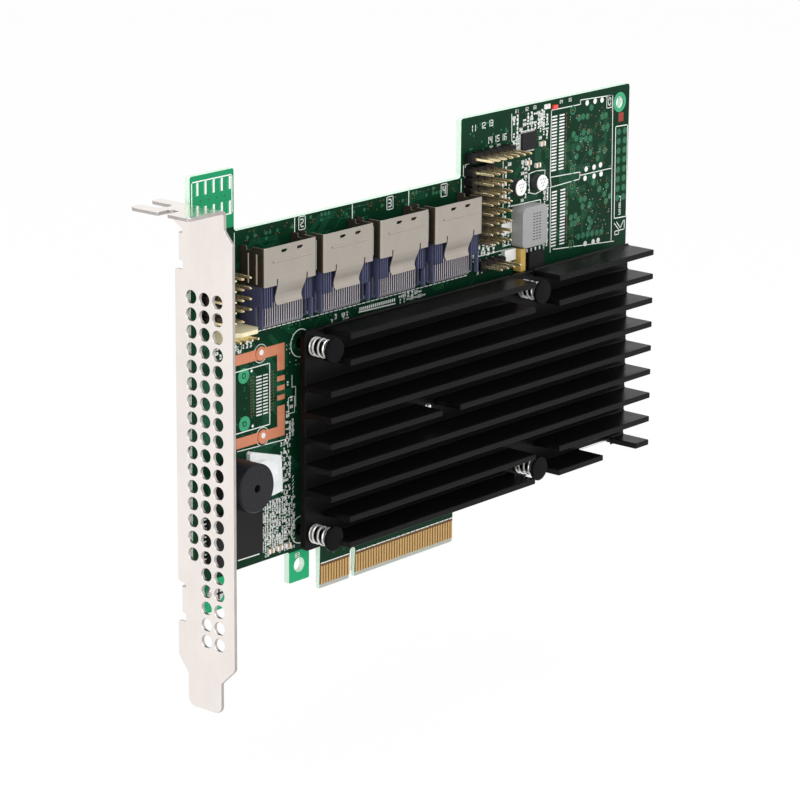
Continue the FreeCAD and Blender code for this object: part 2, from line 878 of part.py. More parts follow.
def header_body(x, z, columns, rows):
    """Moulded strip that carries a grid of pins."""
    return box(x - header_margin, x + header_pitch * (columns - 1) + header_margin,
               front - header_body_height, front, z - header_margin,
               z + header_pitch * (rows - 1) + header_margin)


def header_pins(places):
    """Square pins that stand on the moulded strip."""
    half = header_pin / 2
    return [box(x - half, x + half, front - header_pin_height, front - header_body_height,
                z - half, z + half) for x, z in places]


left_places = [place for place in grid(left_header_x, left_header_z, 4, 5)
               if place != grid(left_header_x, left_header_z, 4, 1)[3]]
main_places = grid(main_header_x, main_header_z, 4, 8)
top_places = grid(main_header_x, top_header_z, 7, 1)
fan_places = grid(fan_header_x, fan_header_z, 4, 1)


# ------------------------------------------------------------------ other parts

def buzzer():
    """Round buzzer with a chamfered rim and a small sound hole."""
    face_y = front - buzzer_height
    body = turned(buzzer_x, buzzer_z, [
        (0, front), (buzzer_radius, front), (buzzer_radius, face_y + buzzer_rim),
        (buzzer_radius - buzzer_rim, face_y), (0, face_y)])
    hole = faceted(buzzer_x, buzzer_z, [(sound_hole_radius, face_y - 1),
                                        (sound_hole_radius, face_y + sound_hole_depth)])
    return [body.cut(hole)]


def buzzer_adhesive():
    """Fillet of silicone along the board; corners are multiples of the buzzer's radius."""
    foot = [(1.05, -1.06), (2.43, -1.10), (2.95, -1.03), (2.95, -0.37), (2.88, 0.47),
            (1.15, 0.98), (1.05, 0.90)]
    heap = [(1.05, -0.50), (1.90, -0.60), (2.30, -0.30), (2.35, 0.25), (1.70, 0.60),
            (1.05, 0.55)]
    foot_y = front - adhesive_foot
    low = plate([(buzzer_x + a * buzzer_radius, buzzer_z + b * buzzer_radius) for a, b in foot],
                foot_y, front)
    high = plate([(buzzer_x + a * buzzer_radius, buzzer_z + b * buzzer_radius) for a, b in heap],
                 front - adhesive_height, foot_y)
    return [fuse([low, high])]


def flash_memory():
    """Flat flash memory chip by the bracket's foot."""
    return [box(flash_left_x, flash_left_x + flash_width, front - flash_height, front,
                flash_low_z, flash_low_z + flash_depth)]


def power_inductor():
    """Moulded power inductor with rounded corners."""
    half_width = inductor_width / 2
    half_depth = inductor_depth / 2
    return [rounded(inductor_x - half_width, inductor_x + half_width, inductor_z - half_depth,
                    inductor_z + half_depth, inductor_corner, front - inductor_height, front)]


def inductor_terminals():
    """Wide tinned terminals at both ends of the inductor."""
    half_width = inductor_width / 2 + fit_clearance
    top_y = front - terminal_height
    low_z = inductor_z - terminal_width / 2
    high_z = inductor_z + terminal_width / 2
    left = box(inductor_x - half_width - terminal_left, inductor_x - half_width, top_y, front,
               low_z, high_z)
    right = box(inductor_x + half_width, inductor_x + half_width + terminal_right, top_y, front,
                low_z, high_z)
    return [left, right]


def capacitor_can(x, z):
    """Small aluminium capacitor on a square plastic foot with two cut corners."""
    half = can_foot_half
    cut = can_foot_half - can_foot_cut
    foot_y = front - can_foot_height
    top_y = front - can_height
    foot = plate([(x - half, z - half), (x + half, z - half), (x + half, z + cut),
                  (x + cut, z + half), (x - cut, z + half), (x - half, z + cut)], foot_y, front)
    can = faceted(x, z, [(can_radius, foot_y), (can_radius, top_y + can_ease),
                         (can_radius - can_ease, top_y)])
    return [fuse([foot, can])]


def battery_connector():
    """Cream friction-lock strip: a low base and an upright wall with two cut corners."""
    x0 = battery_x - battery_width / 2
    x1 = battery_x + battery_width / 2
    high_z = battery_low_z + battery_depth
    base_y = front - battery_base_height
    wall_y = front - battery_wall_height
    shoulder_y = wall_y + battery_wall_cut
    base = box(x0, x1, base_y, front, battery_low_z, high_z)
    wall = strip([(x0, base_y), (x0, shoulder_y), (x0 + battery_wall_cut, wall_y),
                  (x1 - battery_wall_cut, wall_y), (x1, shoulder_y), (x1, base_y)],
                 high_z - battery_wall_thickness, high_z)
    return [fuse([base, wall])]


def battery_connector_pins():
    """Gold pins that stand on the strip's base in front of its wall."""
    z = battery_low_z + battery_pin_inset
    half = battery_pin_width / 2
    middle = (battery_pin_count - 1) / 2
    centres = [battery_x + battery_pin_pitch * (index - middle)
               for index in range(battery_pin_count)]
    return [box(x - half, x + half, front - battery_pin_height, front - battery_base_height,
                z - half, z + half) for x in centres]


def small_blocks(places, width, depth, height, side=-1):
    """Group of equal surface-mount blocks, one at each place."""
    return [chip_block(x, z, width, depth, height, side) for x, z in places]


def chip_block(x, z, width, depth, height, side):
    """Plain rectangular component body on one face of the board."""
    y0, y1 = sorted((side * board_thickness / 2, side * (board_thickness / 2 + height)))
    return box(x - width / 2, x + width / 2, y0, y1, z - depth / 2, z + depth / 2)


ceramic_capacitor_places = [
    (controller_x + controller_width, controller_z - controller_depth / 3),
    (can_right_x, can_z + 2 * can_radius + ceramic_gap),
    (controller_x, controller_z - controller_depth - ceramic_depth),
]
ceramic_capacitor_places += [(ceramic_column_x, ceramic_column_z + ceramic_column_pitch * row)
                             for row in range(2)]
ceramic_capacitor_places += [(ceramic_row_x + ceramic_row_pitch * column, ceramic_row_z)
                             for column in range(3)]
resistor_places = [(resistor_first_x + resistor_pitch_x * column,
                    resistor_first_z + resistor_pitch_z * row)
                   for row in range(4) for column in range(4)]
resistor_places += [(resistor_column_x, resistor_column_z + resistor_pitch_z * row)
                    for row in range(5)]
decoupling_places = [(decoupling_first_x + decoupling_pitch_x * column,
                      decoupling_first_z + decoupling_pitch_z * row)
                     for row in range(3) for column in range(4)]
memory_places = [(memory_first_x + memory_pitch * index, memory_z)
                 for index in range(memory_count)]


def main():
    """Build every sub-part and write one STEP file for each."""
    os.makedirs("parts", exist_ok=True)
    write("circuit_board", circuit_board())
    write("edge_contacts_front", edge_contacts(-1))
    write("edge_contacts_back", edge_contacts(1))
    write("copper_frame", copper_frame())
    write("bracket", bracket())
    write("bracket_screws", bracket_screws())
    write("heatsink", heatsink())
    write("push_pins", push_pins())
    write("push_pin_springs", push_pin_springs())

    x, z = chip_centre()
    write("roc_processor", [ball_grid_chip(x, z, processor_size, processor_cap_share)])
    write("roc_thermal_pad", [thermal_pad(x, z, processor_size * processor_pad_share)])
    write("sas_expander", [ball_grid_chip(expander_x, z, expander_size, expander_cap_share)])
    write("expander_thermal_pad", [thermal_pad(expander_x, z,
                                               expander_size * expander_pad_share)])
    for number, (chip_x, chip_z) in enumerate(memory_places, 1):
        write("cache_memory_%d" % number, [chip(chip_x, chip_z, memory_width, memory_depth,
                                                memory_height, 1)])

    for number, sas_x in enumerate(sas_xs, 1):
        write("sas_shell_%d" % number, [sas_shell(sas_x)])
        write("sas_housing_%d" % number, [sas_housing(sas_x)])
        write("sas_contacts_%d" % number, sas_contacts(sas_x))

    write("left_header_housing", [header_body(left_header_x, left_header_z, 4, 5)])
    write("left_header_pins", header_pins(left_places))
    write("main_header_housing", [header_body(main_header_x, main_header_z, 4, 8)])
    write("main_header_pins", header_pins(main_places))
    write("top_header_housing", [header_body(main_header_x, top_header_z, 7, 1)])
    write("top_header_pins", header_pins(top_places))
    write("fan_header_housing", [header_body(fan_header_x, fan_header_z, 4, 1)])
    write("fan_header_pins", header_pins(fan_places))

    write("buzzer", buzzer())
    write("buzzer_adhesive", buzzer_adhesive())
    write("flash_memory", flash_memory())
    write("power_controller", [chip(controller_x, controller_z, controller_width,
                                    controller_depth, controller_height)])
    write("power_inductor", power_inductor())
    write("inductor_terminals", inductor_terminals())
    write("capacitor_can_1", capacitor_can(can_left_x, can_z))
    write("capacitor_can_2", capacitor_can(can_right_x, can_z))
    write("battery_connector", battery_connector())
    write("battery_connector_pins", battery_connector_pins())
    write("regulator_chip", [chip(regulator_x, regulator_z, regulator_width, regulator_depth,
                                  regulator_height)])
    write("tantalum_capacitor", [chip(tantalum_x, tantalum_z, tantalum_width, tantalum_depth,
                                      tantalum_height)])
    write("crystal_can", [chip(crystal_x, crystal_z, crystal_width, crystal_depth,
                               crystal_height)])
    write("status_led", [chip(led_x, led_z, led_width, led_depth, led_height)])
    write("ceramic_capacitors", small_blocks(ceramic_capacitor_places, ceramic_width,
                                             ceramic_depth, ceramic_height))
    write("resistors", small_blocks(resistor_places, resistor_width, resistor_depth,
                                    resistor_height))
    write("back_capacitors", small_blocks(decoupling_places, decoupling_width,
                                          decoupling_depth, decoupling_height, 1))


main()
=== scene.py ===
"""Looks of a RAID controller card: board, bracket, heatsink, sockets, headers and small parts.

Lengths are millimetres in the card's own frame until a piece is made, when they become metres.
The component side of the board faces -Y, and the bracket stands at the low end of X.
"""

import logging
import math
from dataclasses import dataclass, field
from enum import Enum
from typing import Any, Iterable, Sequence

import bmesh
import bpy
import numpy as np
from mathutils import Matrix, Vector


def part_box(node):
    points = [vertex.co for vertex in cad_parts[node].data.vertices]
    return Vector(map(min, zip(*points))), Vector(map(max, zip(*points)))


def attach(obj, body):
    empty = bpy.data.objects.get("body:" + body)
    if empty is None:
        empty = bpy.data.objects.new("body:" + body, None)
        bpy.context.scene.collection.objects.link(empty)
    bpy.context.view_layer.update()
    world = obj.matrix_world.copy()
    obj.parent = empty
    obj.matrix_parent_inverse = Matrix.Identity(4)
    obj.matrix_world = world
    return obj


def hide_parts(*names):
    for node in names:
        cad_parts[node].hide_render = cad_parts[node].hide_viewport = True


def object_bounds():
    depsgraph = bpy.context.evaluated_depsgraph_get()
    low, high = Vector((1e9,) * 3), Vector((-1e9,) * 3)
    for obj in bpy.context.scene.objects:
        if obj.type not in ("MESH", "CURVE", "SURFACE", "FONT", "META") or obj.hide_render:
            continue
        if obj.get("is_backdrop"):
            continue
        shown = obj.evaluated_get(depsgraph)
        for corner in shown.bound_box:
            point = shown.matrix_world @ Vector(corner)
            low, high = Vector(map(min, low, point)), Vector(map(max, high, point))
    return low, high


LOG = logging.getLogger("card")
MM = 0.001
WHITE = (1.0, 1.0, 1.0, 1.0)
PIN_HEAD = 3.175
SCREW_HEAD = 2.75
Array = np.ndarray
Spot = Sequence[float]


# ---- shader graph

class Wave:
    """One shader value that takes part in arithmetic."""

    def __init__(self, graph: "Graph", socket: bpy.types.NodeSocket) -> None:
        """Keep the graph and the output socket that carries the value."""
        self.graph = graph
        self.socket = socket

    def _math(self, operation: str, *others: Any, clamp: bool = False) -> "Wave":
        """Add one Math node.

        Args:
            operation: the node's operation.
            others: numbers or waves for the remaining inputs.
            clamp: keep the result between 0 and 1.

        Returns:
            The result as a wave.
        """
        settings = {"operation": operation, "use_clamp": clamp}
        return self.graph.add("ShaderNodeMath", settings, {0: self, **dict(enumerate(others, 1))})

    def __add__(self, other: Any) -> "Wave":
        """Sum."""
        return self._math("ADD", other)

    __radd__ = __add__

    def __mul__(self, other: Any) -> "Wave":
        """Product."""
        return self._math("MULTIPLY", other)

    __rmul__ = __mul__

    def __sub__(self, other: Any) -> "Wave":
        """Difference."""
        return self._math("SUBTRACT", other)

    def __rsub__(self, other: Any) -> "Wave":
        """Difference the other way round, such as 1 - mask."""
        return (self * -1.0)._math("ADD", other)

    def __gt__(self, other: Any) -> "Wave":
        """1 where this value is the greater, else 0."""
        return self._math("GREATER_THAN", other)

    def __lt__(self, other: Any) -> "Wave":
        """1 where this value is the smaller, else 0."""
        return self._math("LESS_THAN", other)

    def larger(self, other: Any) -> "Wave":
        """The larger of two values."""
        return self._math("MAXIMUM", other)

    def clamped(self) -> "Wave":
        """The value kept between 0 and 1."""
        return self._math("ADD", 0.0, clamp=True)

    def ramp(self, low: float, high: float) -> "Wave":
        """0 at low, 1 at high, straight between and level outside."""
        return ((self - low) * (1.0 / (high - low))).clamped()


class Graph:
    """Node tree of a material or world round its main shader."""

    def __init__(self, owner: Any, shader: str = "Principled BSDF") -> None:
        """Take over a new tree.

        Args:
            owner: material or world.
            shader: name of its main shader node.
        """
        owner.use_nodes = True
        self.owner = owner
        self.tree = owner.node_tree
        self.shader = self.tree.nodes[shader]

    def add(self, kind: str, settings: dict[str, Any], inputs: dict[Any, Any],
            output: Any = 0) -> Wave:
        """Add any node.

        Args:
            kind: the node's type.
            settings: attributes that are set first.
            inputs: values or waves, by socket name or number.
            output: name or number of the output that is returned.

        Returns:
            The chosen output as a wave.
        """
        node = self.tree.nodes.new(kind)
        for key, value in settings.items():
            setattr(node, key, value)
        for key, value in inputs.items():
            self.feed(node.inputs[key], value)
        return Wave(self, node.outputs[output])

    def feed(self, socket: bpy.types.NodeSocket, value: Any) -> None:
        """Set or link a socket.

        Args:
            socket: the input.
            value: its value, or a wave to link.
        """
        if isinstance(value, Wave):
            self.tree.links.new(value.socket, socket)
        else:
            socket.default_value = value

    def place(self) -> Wave:
        """Object coordinates, in metres."""
        return self.add("ShaderNodeTexCoord", {}, {}, "Object")

    def axis(self, letter: str) -> Wave:
        """One object coordinate, in millimetres."""
        parts = self.add("ShaderNodeSeparateXYZ", {}, {"Vector": self.place()}, letter)
        return parts * 1000.0

    def noise(self, grain: Any, detail: float = 3.0, rough: float = 0.55) -> Wave:
        """Noise between 0 and 1.

        Args:
            grain: size of a grain in millimetres, one for all axes or one for each.
            detail: octaves.
            rough: weight of the finer octaves.

        Returns:
            The noise as a wave.
        """
        spread = tuple(1000.0 / size for size in np.broadcast_to(grain, 3))
        where = self.add("ShaderNodeVectorMath", {"operation": "MULTIPLY"},
                         {0: self.place(), 1: spread})
        return self.add("ShaderNodeTexNoise", {}, {"Vector": where, "Scale": 1.0,
                                                   "Detail": detail, "Roughness": rough}, "Fac")

    def mix(self, share: Any, low: Any, high: Any) -> Wave:
        """Blend of two colours or waves, low at share 0 and high at share 1."""
        return self.add("ShaderNodeMix", {"data_type": "RGBA"},
                        {0: share, 6: rgba(low), 7: rgba(high)}, 2)

    def bump(self, height: Wave, depth: float) -> None:
        """Let a height between 0 and 1 of a real depth in millimetres feed the normal."""
        self.set(Normal=self.add("ShaderNodeBump", {}, {"Height": height, "Distance": depth * MM,
                                                        "Strength": 1.0}, "Normal"))

    def seen(self) -> Wave:
        """Tell the rays that look straight at the surroundings.

        Returns:
            1 on a camera, glossy or transmission ray, else 0.
        """
        camera, glossy, through = (self.add("ShaderNodeLightPath", {}, {}, f"Is {kind} Ray")
                                   for kind in ("Camera", "Glossy", "Transmission"))
        return camera.larger(glossy).larger(through)

    def set(self, **values: Any) -> None:
        """Set or link the shader's sockets, with underscores for spaces in their names."""
        for key, value in values.items():
            self.feed(self.shader.inputs[key.replace("_", " ")], value)


def rgba(colour: Any) -> Any:
    """A wave as it is, or a colour with its alpha."""
    return colour if isinstance(colour, Wave) else (*colour, 1.0)


# ---- finishes

@dataclass(frozen=True)
class Finish:
    """A surface with a mottled colour, an uneven gloss and a fine grain."""

    name: str
    colour: tuple[float, float, float]
    roughness: float = 0.5
    metallic: float = 0.0
    coat: float = 0.0
    specular: float = 0.5
    mottle: float = 0.06
    mottle_mm: float = 3.0
    gloss_spread: float = 0.06
    grain_mm: Any = 0.25
    grain_depth: float = 0.004

    @property
    def label(self) -> str:
        """The material's name."""
        return f"dressed_{self.name}"

    def graph(self) -> Graph:
        """Build the node tree.

        Returns:
            The graph, for finishes that add to it.
        """
        graph = Graph(bpy.data.materials.new(self.label))
        patch = graph.noise(self.mottle_mm)
        graph.set(Base_Color=graph.mix(patch, *self.shades(1 - self.mottle * 2,
                                                           1 + self.mottle * 2)),
                  Metallic=self.metallic, Coat_Weight=self.coat, Coat_Roughness=0.1,
                  Specular_IOR_Level=self.specular,
                  Roughness=(patch * self.gloss_spread * 2
                             + (self.roughness - self.gloss_spread)).clamped())
        graph.bump(graph.noise(self.grain_mm, 2.0), self.grain_depth)
        return graph

    def shades(self, *factors: float) -> list[tuple[float, ...]]:
        """The colour made lighter or darker by each factor."""
        return [tuple(min(1.0, part * factor) for part in self.colour) for factor in factors]

    def material(self) -> bpy.types.Material:
        """The finished material."""
        return self.graph().owner


@dataclass(frozen=True)
class SolderMask(Finish):
    """Green lacquer over glass fibre, paler where no copper lies behind it."""

    pale: tuple[float, float, float] = (0.020, 0.36, 0.155)
    laminate: tuple[float, float, float] = (0.40, 0.42, 0.38)
    resin: tuple[float, float, float] = (0.15, 0.085, 0.040)

    def material(self) -> bpy.types.Material:
        """Dark green with a woven grain, pale ears and lug, and bare card-edge fingers.

        Returns:
            The material.
        """
        graph = self.graph()
        x = graph.axis("X")
        z = graph.axis("Z")
        warp, weft = (graph.add("ShaderNodeTexWave", {"bands_direction": way},
                                {"Vector": graph.place(), "Scale": 320.0, "Distortion": 0.6},
                                "Fac") for way in "XZ")
        ear = (x < -42.3) * (z > 97.0)
        lug = (z < 12.1) * (x < -15.9)
        cloud = graph.noise(9.0, 4.0, 0.6).ramp(0.35, 0.7)
        cloth = (warp + weft) * 0.5
        bare = graph.mix(cloud * 0.6 + cloth * 0.4, *self.shades(0.8, 1.35))
        bare = graph.mix((ear * 0.7 + lug).clamped(), bare, self.pale)
        for height, colour in ((6.6, self.resin), (1.1, self.laminate)):
            bare = graph.mix((z < height) * (x > -12.5) * (x < 39.5), bare, colour)
        graph.set(Base_Color=bare)
        return graph.owner


@dataclass(frozen=True)
class RolledSheet(Finish):
    """Plated sheet metal with a faint rolled grain, smudges and fine scratches."""

    roll: str = "Z"

    def material(self) -> bpy.types.Material:
        """Long streaks along the roll, uneven gloss and a slight orange peel.

        Returns:
            The material.
        """
        graph = self.graph()
        streak = graph.noise([60.0 if axis == self.roll else 0.25 for axis in "XYZ"], 4.0, 0.6)
        smudge = graph.noise((7.0, 7.0, 11.0), 4.0, 0.6).ramp(0.4, 0.75)
        graph.set(Base_Color=graph.mix(streak * 0.5 + smudge * 0.5, *self.shades(0.93, 1.05)),
                  Roughness=(streak * self.gloss_spread + smudge * self.gloss_spread
                             + (self.roughness - self.gloss_spread)).clamped())
        graph.bump(streak * 0.5 + graph.noise(0.5, 3.0, 0.5) * 0.5, self.grain_depth)
        return graph.owner


@dataclass(frozen=True)
class Anodised(Finish):
    """Black anodised extrusion with fine lines along its length."""

    def material(self) -> bpy.types.Material:
        """Die lines along X, a dusty bloom and a fine etched grain.

        Returns:
            The material.
        """
        graph = self.graph()
        lines = graph.noise((90.0, 0.18, 0.18), 3.0, 0.6)
        bloom = graph.noise((14.0, 6.0, 6.0), 5.0, 0.6).ramp(0.35, 0.8)
        graph.set(Base_Color=graph.mix(bloom * 0.5 + lines * 0.5, *self.shades(0.7, 1.5)),
                  Roughness=(bloom * 0.10 + lines * 0.08 + (self.roughness - 0.08)).clamped())
        graph.bump(lines * 0.6 + graph.noise(0.16, 2.0) * 0.4, self.grain_depth)
        return graph.owner


class Look(Enum):
    """Every finish on the card."""

    MASK = SolderMask("solder_mask", (0.0030, 0.029, 0.0125), 0.36, specular=0.06, mottle=0.1,
                      grain_depth=0.003)
    EDGE = Finish("board_edge", (0.62, 0.78, 0.66), 0.6, grain_depth=0.01,
                  grain_mm=(0.4, 0.1, 0.4))
    TRACE = Finish("masked_copper", (0.012, 0.090, 0.042), 0.34, specular=0.12, mottle=0.1)
    VIA = Finish("masked_via", (0.020, 0.135, 0.064), 0.3, specular=0.2, mottle=0.12, mottle_mm=1.0)
    PALE_VIA = Finish("pale_masked_pad", (0.035, 0.33, 0.16), 0.3, specular=0.3, mottle=0.12,
                      mottle_mm=1.0)
    SILK = Finish("silkscreen", (0.80, 0.84, 0.80), 0.55, mottle=0.05, grain_mm=0.1)
    GOLD = Finish("plated_gold", (0.56, 0.345, 0.130), 0.32, metallic=0.6, mottle=0.05,
                  mottle_mm=1.5, grain_depth=0.001)
    PIN_GOLD = Finish("pin_gold", (0.97, 0.80, 0.50), 0.22, metallic=0.9, mottle=0.03,
                      grain_depth=0.0005)
    TIN = Finish("tin", (0.88, 0.88, 0.86), 0.35, metallic=0.35, mottle_mm=0.5)
    COPPER = Finish("bare_copper", (0.64, 0.235, 0.125), 0.42, metallic=0.25,
                    mottle_mm=2.0)
    BRACKET = RolledSheet("bright_nickel", (0.90, 0.835, 0.79), 0.17, metallic=1.0,
                          gloss_spread=0.04, grain_depth=0.0006)
    SHEARED = Finish("sheared_edge", (0.46, 0.43, 0.41), 0.32, metallic=0.95, mottle=0.1)
    CAGE = RolledSheet("plated_cage", (0.41, 0.37, 0.325), 0.30, metallic=0.9, gloss_spread=0.05,
                       grain_depth=0.001, roll="X")
    # Darker copy of the cage plating for the side walls: painted shade, not a different finish.
    CAGE_WALL_SHADE = RolledSheet("painted_shade_cage_wall", (0.11, 0.092, 0.068), 0.36, metallic=0.8,
                            gloss_spread=0.05, grain_depth=0.001)
    STEEL = Finish("screw_steel", (0.62, 0.62, 0.60), 0.3, metallic=1.0)
    HEATSINK = Anodised("black_anodised", (0.0036, 0.0032, 0.0034), 0.34, specular=0.10,
                        grain_depth=0.003)
    # Bare aluminium for the drilled spot; also the painted highlight strips along the heatsink
    # notch.
    BARE_METAL_AND_HIGHLIGHT = Finish("bare_aluminium_and_painted_highlight", (0.88, 0.88, 0.88), 0.25, metallic=1.0)
    NYLON = Finish("black_nylon", (0.0025, 0.0025, 0.003), 0.32, specular=0.06, mottle=0.15)
    SPRING = Finish("spring_wire", (0.74, 0.72, 0.70), 0.30, metallic=0.7, grain_depth=0.001)
    CHIP = Finish("moulded_chip", (0.010, 0.010, 0.011), 0.62, specular=0.2, mottle=0.12,
                  mottle_mm=0.6, grain_depth=0.012, grain_mm=0.12)
    PAD = Finish("thermal_pad", (0.45, 0.50, 0.58), 0.8)
    NAVY = Finish("navy_moulding", (0.052, 0.058, 0.115), 0.42, specular=0.3, mottle=0.08,
                  mottle_mm=1.5)
    CONTACT = Finish("tinned_contact", (0.46, 0.43, 0.47), 0.32, metallic=0.4, grain_depth=0.001)
    BLACK = Finish("header_black", (0.006, 0.0055, 0.006), 0.45, specular=0.15, mottle=0.12)
    BUZZER = Finish("buzzer_black", (0.011, 0.0105, 0.014), 0.42, specular=0.2, mottle=0.4,
                    mottle_mm=0.35, grain_mm=0.3, grain_depth=0.08)
    SILICONE = Finish("silicone", (0.80, 0.83, 0.83), 0.35, coat=0.3, mottle=0.04, grain_mm=1.2,
                      grain_depth=0.10)
    INDUCTOR = Finish("pressed_powder", (0.30, 0.30, 0.30), 0.6, mottle=0.08, mottle_mm=0.4,
                      grain_depth=0.02)
    CAN = Finish("can_lid", (0.90, 0.90, 0.90), 0.4, metallic=0.2)
    SLEEVE = Finish("black_sleeve", (0.03, 0.03, 0.035), 0.4)
    CREAM = Finish("cream_moulding", (0.80, 0.72, 0.48), 0.42, mottle=0.04)
    OCHRE = Finish("ochre_moulding", (0.55, 0.36, 0.09), 0.45)
    TAN = Finish("ceramic_tan", (0.42, 0.27, 0.15), 0.5, mottle=0.12, mottle_mm=0.6)
    GREY = Finish("ceramic_grey", (0.36, 0.33, 0.30), 0.5, mottle=0.12, mottle_mm=0.6)
    # Black ceramic for resistors and printed marks; also the painted shade in the screw recesses
    # and under the socket mouldings' step.
    DARK = Finish("ceramic_dark", (0.014, 0.014, 0.016), 0.45, specular=0.15)
    RED = Finish("red_lens", (0.75, 0.05, 0.03), 0.2, coat=0.5)
    MAROON = Finish("maroon_label", (0.28, 0.045, 0.035), 0.5, specular=0.2)
    RUST = Finish("plated_via", (0.26, 0.085, 0.045), 0.4, metallic=0.3)

    @property
    def material(self) -> bpy.types.Material:
        """The material, built on first use."""
        found = bpy.data.materials.get(self.value.label)
        return found or self.value.material()


# ---- mesh tools

class Plane(Enum):
    """How a flat outline (a, b) with a depth stands in the card's frame."""

    BOARD = (0, 2, 1)
    BRACKET = (1, 2, 0)
    FLANGE = (0, 1, 2)

    def stand(self, flat: Array, depth: Any) -> Array:
        """Place flat points.

        Args:
            flat: array of (a, b) pairs.
            depth: one depth, or one for each point.

        Returns:
            Array of points, with a, b and depth on the plane's own axes.
        """
        flat = np.asarray(flat, float)
        points = np.empty(flat.shape[:-1] + (3,))
        points[..., self.value[0]] = flat[..., 0]
        points[..., self.value[1]] = flat[..., 1]
        points[..., self.value[2]] = depth
        return points


def circle(radius: float, steps: int, centre: Spot = (0.0, 0.0)) -> Array:
    """Points of a circle: centre plus radius times (cosine, sine) of evenly spaced turns."""
    turn = np.linspace(0.0, 2 * math.pi, steps, endpoint=False)
    return np.stack([centre[0] + radius * np.cos(turn), centre[1] + radius * np.sin(turn)], -1)


def eased(corners: Sequence[Spot], steps: int = 5) -> Array:
    """Outline whose corners (a, b, radius) are rounded.

    Each corner becomes a quadratic curve between the two points that lie a tangent length away
    along its sides, which is close to an arc of the given radius.

    Args:
        corners: (a, b) or (a, b, radius) in order round the outline.
        steps: points on each rounded corner.

    Returns:
        Array of (a, b) pairs.
    """
    flat = np.array([corner[:2] for corner in corners], float)
    radii = [corner[2] if len(corner) > 2 else 0.0 for corner in corners]
    rings = []
    for index, (here, radius) in enumerate(zip(flat, radii)):
        if not radius:
            rings.append(here[None])
            continue
        before = flat[index - 1] - here
        after = flat[(index + 1) % len(flat)] - here
        before /= np.linalg.norm(before)
        after /= np.linalg.norm(after)
        half = math.acos(float(np.clip(before @ after, -1, 1))) / 2
        run = radius / math.tan(half)
        bisector = (before + after) / np.linalg.norm(before + after)
        centre = here + bisector * radius / math.sin(half)
        start = here + before * run - centre
        end = here + after * run - centre
        sweep = math.pi - 2 * half
        share = np.linspace(0.0, 1.0, steps)[:, None]
        ring = np.sin((1 - share) * sweep) * start + np.sin(share * sweep) * end
        rings.append(centre + ring / math.sin(sweep))
    return np.concatenate(rings)


